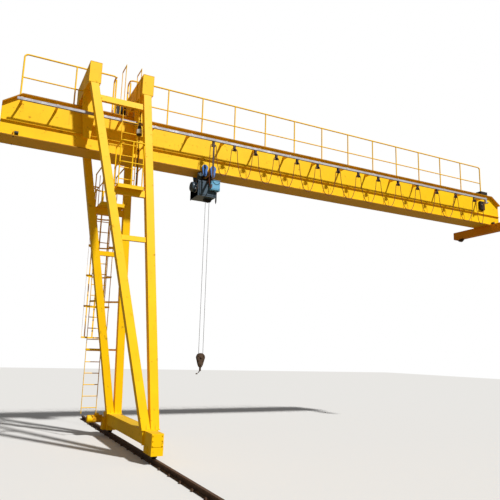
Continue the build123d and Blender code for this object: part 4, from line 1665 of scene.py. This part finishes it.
@dataclass
class HoistUnit(SubAssembly):
    """Motor, drive, panel and case of the electric hoist under the girder."""

    body = Body.TROLLEY
    left: float = 1.38
    right: float = 1.90
    half: float = 0.28
    low: float = 6.47
    high: float = 6.90
    cover: float = 0.012
    motor_y: float = -0.12
    motor_z: float = 6.728
    leaves: Pair = (1.53, 1.77)
    leaf_face: float = 0.372
    axle_z: float = 7.2453
    tow_face: float = -0.663
    hoist_shape: Motor = Motor(
        sides=44,
        shell=((0.139, 0), (0.139, 0.016), (0.122, 0.018), (0.118, 0.088), (0.128, 0.090)),
        fins=Fins(start=0.018, length=0.070, root=0.119, depth=0.018, count=36),
        cowl=(
            (0.128, 0.090), (0.134, 0.093), (0.134, 0.128), (0.124, 0.144), (0.116, 0.148),
            (0.112, 0.140), (0.04, 0.140), (0.036, 0.148), (0.012, 0.150),
        ),
        slats=Fins(start=0.147, length=0.003, root=0.042, depth=0.070, count=20),
    )
    travel_shape: Motor = Motor(
        sides=30,
        shell=(
            (0.056, 0), (0.056, 0.006), (0.047, 0.008), (0.046, 0.052), (0.054, 0.053),
            (0.055, 0.078), (0.048, 0.085), (0.010, 0.0855),
        ),
        fins=Fins(start=0.009, length=0.044, root=0.047, depth=0.008, count=24),
    )
    # The round cover at the case's end: its axis across and up, and its profile
    lid_seat: Pair = (0.06, 6.69)
    lid: tuple[Pair, ...] = ((0.15, 0), (0.15, 0.024), (0.13, 0.034), (0.05, 0.036), (0.045, 0.062))
    # The limit bar's outline: distance from its middle and height
    bar: tuple[Pair, ...] = ((-0.018, 6.99), (0.018, 6.99), (0.018, 6.43), (0.0, 6.36), (-0.018, 6.43))

    def case(self) -> None:
        """Bolt covers and ribs on the drum's case, with a round cover at its end."""
        made = self.start("hoist_case_covers", Slot.GREY)
        left, right, low, high, half = self.left, self.right, self.low, self.high, self.half
        for side in BOTH:
            face = side * (half + self.cover)
            made.box((left + 0.03, side * half, low + 0.03), (right - 0.03, face, high - 0.03), 0.005)
            places = (left + 0.055, 1.51, 1.64, 1.77, right - 0.055)
            made.bolts(product(places, (face,), (low + 0.055, high - 0.055)), (0, side, 0), 0.016)
        for x in (left, right - 0.02):
            made.box((x, -half - 0.016, low - 0.014), (x + 0.02, half + 0.016, high + self.cover))
        for z in (low + 0.12, low + 0.30):
            made.box((right, -0.2, z), (right + 0.014, 0.2, z + 0.03), 0.004)
        y, z = self.lid_seat
        made.turned((right, y, z), (1, 0, 0), self.lid, 40)
        made.bolt_circle((right + 0.026, y, z), 1, 0.138, 8, 0.014)
        made.mount()

    def hood(self) -> None:
        """Build the dark guide under the case where the ropes leave the drum."""
        made = self.start("rope_guide", Coat.DARK)
        for first, last in ((-0.057, -0.045), (0.045, 0.057)):
            outline = ((1.67, self.low), (1.89, self.low), (1.87, 6.40), (1.69, 6.40))
            made.plate([(x, first, z) for x, z in outline], (0, last - first, 0))
        for x in (1.682, 1.858):
            made.box((x, -0.05, 6.405), (x + 0.012, 0.05, self.low), PLATE_EDGE)
        made.mount()

    def motor(self) -> None:
        """Build the hoist motor with its bolted flange, finned shell and fan cowl."""
        made = self.start("hoist_drive", Slot.GREY)
        x, y, z = self.left, self.motor_y, self.motor_z
        made.motor((x, y, z), (-1, 0, 0), self.hoist_shape)
        made.bolt_circle((x - 0.016, y, z), -1, 0.130, 8, 0.013)
        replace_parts(made.mount(), "hoist_motor")

    def motor_ring(self) -> None:
        """Add the pale bare ring between the motor and the case."""
        made = self.start("motor_spigot_ring", Slot.ZINC)
        seat = (self.left - 0.001, self.motor_y, self.motor_z)
        made.turned(seat, (-1, 0, 0), [(0.150, 0), (0.150, 0.010), (0.146, 0.013)], 44)
        made.mount()

    def panel(self) -> None:
        """Close the control panel with a door and a rain strip."""
        (left, face, base), (right, back, top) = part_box("hoist_panel")
        made = self.start("panel_door", Slot.BLUE)
        made.box((left + 0.008, face - 0.014, base + 0.010), (right - 0.008, face, top - 0.014), 0.006)
        made.box((left - 0.008, face - 0.022, top - 0.004), (right + 0.008, back, top + 0.010), 0.004)
        made.box((left + 0.04, face - 0.018, base + 0.04), (right - 0.04, face - 0.012, top - 0.05), 0.006)
        made.mount()

    def panel_fittings(self) -> None:
        """Add the dark hinges, locks and glands of the panel."""
        (left, front, base), (right, back, top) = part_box("hoist_panel")
        face = front - 0.014
        hinge = [(0.007, 0), (0.007, 0.040)]
        lock = [(0.011, 0), (0.011, 0.006), (0.007, 0.010)]
        gland = [(0.015, 0), (0.015, 0.012), (0.010, 0.028)]
        side_gland = [(0.017, 0), (0.017, 0.014), (0.011, 0.030)]
        made = self.start("panel_fittings", Coat.DARK)
        for z in (base + 0.05, top - 0.06):
            made.turned((left + 0.003, face - 0.002, z - 0.020), UP, hinge, 12)
            made.turned((right - 0.024, face, z), (0, -1, 0), lock, 14)
        for x in (left + 0.05, left + 0.105, right - 0.05):
            made.turned((x, (front + back) / 2, base), DOWN, gland, 6)
        made.turned((left, -0.343, 6.80), (-1, 0, 0), side_gland, 6)
        made.mount()

    def running_gear(self) -> None:
        """Put the axles' nuts and the tie rods' nuts on the trolley's leaf plates."""
        made = self.start("leaf_plate_nuts", Slot.STEEL)
        for x, side in product(self.leaves, BOTH):
            face, out = side * self.leaf_face, (0, side, 0)
            made.turned((x, face, self.axle_z), out, [(0.036, 0), (0.036, 0.006), (0.028, 0.008)], 28)
            nut = [(0.026, 0), (0.026, 0.016), (0.022, 0.019)]
            made.turned((x, face + side * 0.006, self.axle_z), out, nut, 6)
            made.bolts(product((x - 0.024, x + 0.024), (face,), (7.036, 7.066)), out, 0.016)
        made.mount()

    def travel_drive(self) -> None:
        """Build the small geared motor that drives the trolley's wheels."""
        low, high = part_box("trolley_motor")
        made = self.start("trolley_drive", Slot.GREY)
        x, y, z, out = (low.x + high.x) / 2, high.y - 0.055, (low.z + high.z) / 2, (0, -1, 0)
        made.box((low.x + 0.004, y, low.z + 0.004), (high.x, high.y, high.z), 0.012)
        made.motor((x, y, z), out, self.travel_shape)
        made.bolts(product((x - 0.046, x + 0.046), (y,), (low.z + 0.02, high.z - 0.02)), out, 0.011)
        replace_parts(made.mount(), "trolley_motor")

    def lever(self) -> None:
        """Hang the pointed limit bar on its bolted arm and stay beside the case."""
        made = self.start("limit_lever", Coat.DARK)
        x, y = self.right + 0.11, -0.06
        made.box((self.right, y - 0.012, 6.65), (x + 0.02, y + 0.012, 6.68), PLATE_EDGE)
        made.plate([(x + across, y - 0.014, z) for across, z in self.bar], (0, 0.028, 0), BLOCK_EDGE)
        made.bolt((x, y - 0.014, 6.665), (0, -1, 0), 0.02)
        made.strip((self.right, y, 6.88), (x, y, 6.90), (0, 1, 0), 0.026, 0.006)
        made.mount()

    def tow_fittings(self) -> None:
        """Bolt the tow arm's joints."""
        made = self.start("tow_arm_bolts", Coat.GRIMY)
        made.bolts(product((1.628, 1.652), (self.tow_face,), (6.852, 6.878)), (0, -1, 0), 0.012)
        made.bolts(product((1.64,), (self.tow_face,), (7.90, 7.92)), (0, -1, 0), 0.011)
        made.bead((1.615, -0.292, 6.84), (1.665, -0.292, 6.84), 0.005)
        made.mount()

    def build(self) -> None:
        """Build every piece of the hoist."""
        self.case()
        self.hood()
        self.motor()
        self.motor_ring()
        self.panel()
        self.panel_fittings()
        self.running_gear()
        self.travel_drive()
        self.lever()
        self.tow_fittings()


@dataclass
class HookBlock(SubAssembly):
    """Pins, bolts, nut collar and latch of the hook block and its hook."""

    body = Body.BLOCK
    x: float = 1.78
    cheek: float = 0.048
    sheave_z: float = 2.17
    lower_z: float = 1.99
    foot_z: float = 1.94
    # Spacers between the cheeks: distance from the middle and height
    spacers: tuple[Pair, ...] = ((0.074, 2.20), (0.062, 2.08))

    def fittings(self) -> None:
        """Fit the pins' nuts, the spacers' bolts and the collar over the hook."""
        made = self.start("hook_block_fittings", Coat.GREASY)
        for side in BOTH:
            face, out = side * self.cheek, (0, side, 0)
            made.turned((self.x, face, self.sheave_z), out, [(0.044, 0), (0.044, 0.006), (0.034, 0.008)], 28)
            nut = [(0.030, 0), (0.030, 0.018), (0.025, 0.022)]
            made.turned((self.x, face + side * 0.006, self.sheave_z), out, nut, 6)
            made.turned((self.x, face, self.lower_z), out, [(0.032, 0), (0.032, 0.014), (0.026, 0.020)], 24)
            for reach, z in self.spacers:
                made.bolts(((self.x - reach, face, z), (self.x + reach, face, z)), out, 0.020)
        for (reach, z), way in product(self.spacers, BOTH):
            tube = [(0.008, 0), (0.008, 2 * self.cheek)]
            made.turned((self.x + way * reach, -self.cheek, z), (0, 1, 0), tube, 12)
        collar = [(0.050, 0), (0.050, 0.014), (0.040, 0.024), (0.029, 0.028)]
        made.turned((self.x, 0, self.foot_z), DOWN, collar, 28)
        made.mount()

    def latch(self) -> None:
        """Close the hook's mouth with a sprung latch."""
        made = self.start("hook_latch", Slot.STEEL, Body.HOOK)
        x = self.x
        made.strip((x - 0.022, 0, 1.800), (x - 0.076, 0, 1.752), (0, 1, 0), 0.030, 0.004)
        for side in BOTH:
            end = (x - 0.050, side * 0.018, 1.776)
            made.strip((x - 0.014, side * 0.024, 1.812), end, UP, 0.018, 0.003)
        made.turned((x - 0.018, -0.032, 1.806), (0, 1, 0), [(0.006, 0), (0.006, 0.064)], 12)
        made.mount()

    def tip(self) -> None:
        """Round off the forged tip of the hook."""
        made = self.start("hook_tip", Coat.GREASY, Body.HOOK)
        profile = [(0.027, -0.004), (0.0265, 0.006), (0.022, 0.017), (0.013, 0.025), (0.004, 0.028)]
        made.turned((self.x - 0.092, 0, 1.740), (-0.05, 0, 1.0), profile, 24)
        made.mount()

    def build(self) -> None:
        """Build every piece of the hook block."""
        self.fittings()
        self.latch()
        self.tip()


@dataclass
class Boxes(SubAssembly):
    """Cabinet by the gap in the handrail, and the lamp on the near leg frame."""

    lamp_x: float = -0.4325
    lamp_y: float = -0.745
    deck_z: float = 6.125
    pipe_height: float = 2.14

    def cabinet(self) -> None:
        """Give the cabinet its rain hood, its plinth and the vents at its left side."""
        (left, front, base), (right, back, top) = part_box("control_cabinet")
        made = self.start("cabinet_hood", Coat.CREAM)
        made.box((left - 0.02, front - 0.03, top - 0.006), (right + 0.02, back + 0.01, top + 0.012), 0.004)
        made.box((left - 0.006, front - 0.006, base), (right + 0.006, back + 0.006, base + 0.035))
        for z in row(base + 0.26, 0.018, 5):
            made.box((left - 0.004, front + 0.07, z), (left, back - 0.07, z + 0.007), SHEET_EDGE)
        made.mount()

    def door(self) -> None:
        """Hang the dark door with its hinges, handle and lock."""
        (left, front, base), (right, _, top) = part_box("control_cabinet")
        made = self.start("cabinet_door", Coat.DARK)
        face = front - 0.008
        hinge = [(0.007, 0), (0.007, 0.05)]
        lock = [(0.016, 0), (0.014, 0.012), (0.008, 0.016)]
        made.box((left + 0.010, face, base + 0.045), (right - 0.010, front, top - 0.020), 0.004)
        for z in (base + 0.09, top - 0.07):
            made.turned((left + 0.008, face - 0.002, z - 0.025), UP, hinge, 12)
        made.turned((right - 0.035, face, base + 0.24), (0, -1, 0), lock, 18)
        made.box((right - 0.041, face - 0.024, base + 0.19), (right - 0.029, face - 0.014, base + 0.252))
        made.mount()

    def lamp(self) -> None:
        """Build the lamp's tapered housing on its pipe."""
        made = self.start("lamp_housing", Coat.DARK)
        x, y, half = self.lamp_x, self.lamp_y, 0.018
        housing = [(0.055, 0), (0.067, 0.02), (0.067, 0.05), (0.062, 0.06), (0.048, 0.24), (0.030, 0.27)]
        made.turned((x, y, self.deck_z), UP, [(0.011, 0), (0.011, self.pipe_height)], 12)
        made.turned((x, y, 7.60), UP, housing, 4, math.pi / 4)
        made.turned((x, y, self.deck_z), UP, [(0.030, 0), (0.030, 0.006), (0.016, 0.012)], 16)
        for z in (6.6, 7.2, 8.0):
            made.box((x - half, y - half, z), (x + half, y + half, z + 0.02))
        made.mount()

    def lens(self) -> None:
        """Put the frosted glass round the lamp's lower half."""
        made = self.start("lamp_glass", Coat.LENS)
        profile = [(0.050, 0), (0.063, 0.012), (0.0695, 0.04), (0.066, 0.13), (0.060, 0.14)]
        made.turned((self.lamp_x, self.lamp_y, 7.63), UP, profile, 4, math.pi / 4)
        made.mount()

    def build(self) -> None:
        """Build the cabinet's and the lamp's pieces."""
        self.cabinet()
        self.door()
        self.lamp()
        self.lens()


@dataclass
class Viewpoint:
    """Camera at the photographer's place, looking up along the girder."""

    place: Point = (-3.652, -13.511, 2.262)
    yaw: float = 0.4664
    pitch: float = 0.1916
    roll: float = 0.0272
    lens_mm: float = 39.0
    sensor_mm: float = 36.0
    reach: float = 400.0

    def build(self) -> None:
        """Set the scene's camera."""
        flat = math.cos(self.pitch)
        ahead = Vector((math.sin(self.yaw) * flat, math.cos(self.yaw) * flat, math.sin(self.pitch)))
        level = Vector((math.cos(self.yaw), -math.sin(self.yaw), 0))
        above = level.cross(ahead)
        right = level * math.cos(self.roll) + above * math.sin(self.roll)
        up = above * math.cos(self.roll) - level * math.sin(self.roll)
        data = bpy.data.cameras.new("viewpoint")
        data.lens = self.lens_mm
        data.sensor_width = self.sensor_mm
        data.sensor_fit = "HORIZONTAL"
        data.clip_end = self.reach
        camera = bpy.data.objects.new("viewpoint", data)
        bpy.context.scene.collection.objects.link(camera)
        turn = Matrix((right, up, -ahead)).transposed().to_4x4()
        camera.matrix_world = Matrix.Translation(self.place) @ turn
        bpy.context.scene.camera = camera


@dataclass
class Studio:
    """Pale floor, white surround and one high soft key light."""

    floor_half: float = 60.0
    floor_z: float = -0.002
    key_direction: Point = (-0.43, 1.0, -1.01)
    key_strength: float = 4.0
    key_spread: float = 3.0
    fill: float = 0.2
    fill_colour: str = "F4F6FA"
    pale: str = "E4E2DE"
    bounce: str = "94866F"

    def build(self) -> None:
        """Make the floor, the key light and the surround."""
        self.lay_floor()
        self.hang_key()
        self.surround()

    def lay_floor(self) -> None:
        """Lay a plain pale floor under the ground rail."""
        shape = bmesh.new()
        bmesh.ops.create_grid(shape, x_segments=1, y_segments=1, size=self.floor_half)
        floor = make_piece("studio_floor", mesh_from("studio_floor", shape))
        floor.location = (0.0, 0.0, self.floor_z)
        material, tree, output = new_material("pale_floor")
        # The floor looks pale, but throws back only as much light as bare ground
        rays = add_node(tree, "ShaderNodeLightPath")
        colour = blend_colours(tree, rays.outputs["Is Camera Ray"], linear(self.bounce), linear(self.pale))
        shader = add_node(tree, "ShaderNodeBsdfDiffuse", links={"Color": colour})
        tree.links.new(shader.outputs[0], output.inputs[0])
        floor.data.materials.append(material)

    def hang_key(self) -> None:
        """Hang one distant lamp where the daylight comes from."""
        lamp = bpy.data.lights.new("key", "SUN")
        lamp.energy = self.key_strength
        lamp.angle = math.radians(self.key_spread)
        key = bpy.data.objects.new("key", lamp)
        bpy.context.scene.collection.objects.link(key)
        key.rotation_euler = Vector(self.key_direction).to_track_quat("-Z", "Y").to_euler()

    def surround(self) -> None:
        """Make the surround white to the camera and plain grey as light."""
        world = bpy.data.worlds.new("surround")
        bpy.context.scene.world = world
        world.use_nodes = True
        tree = world.node_tree
        tree.nodes.clear()
        output = add_node(tree, "ShaderNodeOutputWorld")
        rays = add_node(tree, "ShaderNodeLightPath")
        seen = combine(tree, "MAXIMUM", rays.outputs["Is Camera Ray"], rays.outputs["Is Transmission Ray"])
        links = {"Color": linear(self.fill_colour), "Strength": self.fill}
        fill = add_node(tree, "ShaderNodeBackground", links=links)
        white = add_node(tree, "ShaderNodeBackground", links={"Color": (1, 1, 1, 1), "Strength": 1.0})
        mix = add_node(tree, "ShaderNodeMixShader", links={0: seen, 1: fill.outputs[0], 2: white.outputs[0]})
        tree.links.new(mix.outputs[0], output.inputs[0])


def main() -> None:
    """Dress the frame, then build every piece in order and report it."""
    logging.basicConfig(level=logging.INFO, format="%(message)s")
    bpy.context.scene.view_settings.view_transform = "Standard"
    Viewpoint().build()
    Studio().build()
    shop = Paintshop()
    shop.dress_frame()
    festoon = Festoon(shop)
    legs = LegFrames(shop)
    for group in (
        festoon,
        Carriers(shop, festoon),
        HoistRopes(shop),
        Girder(shop),
        legs,
        Platforms(shop),
        Ladders(shop, legs),
        GroundCarriage(shop),
        GroundRail(shop),
        BuildingCarriage(shop),
        HoistUnit(shop),
        HookBlock(shop),
        Boxes(shop),
    ):
        done = len(shop.pieces)
        group.build()
        for name in shop.pieces[done:]:
            log.info("%s: %s", type(group).__name__, name)


if __name__ == "__main__":
    main()
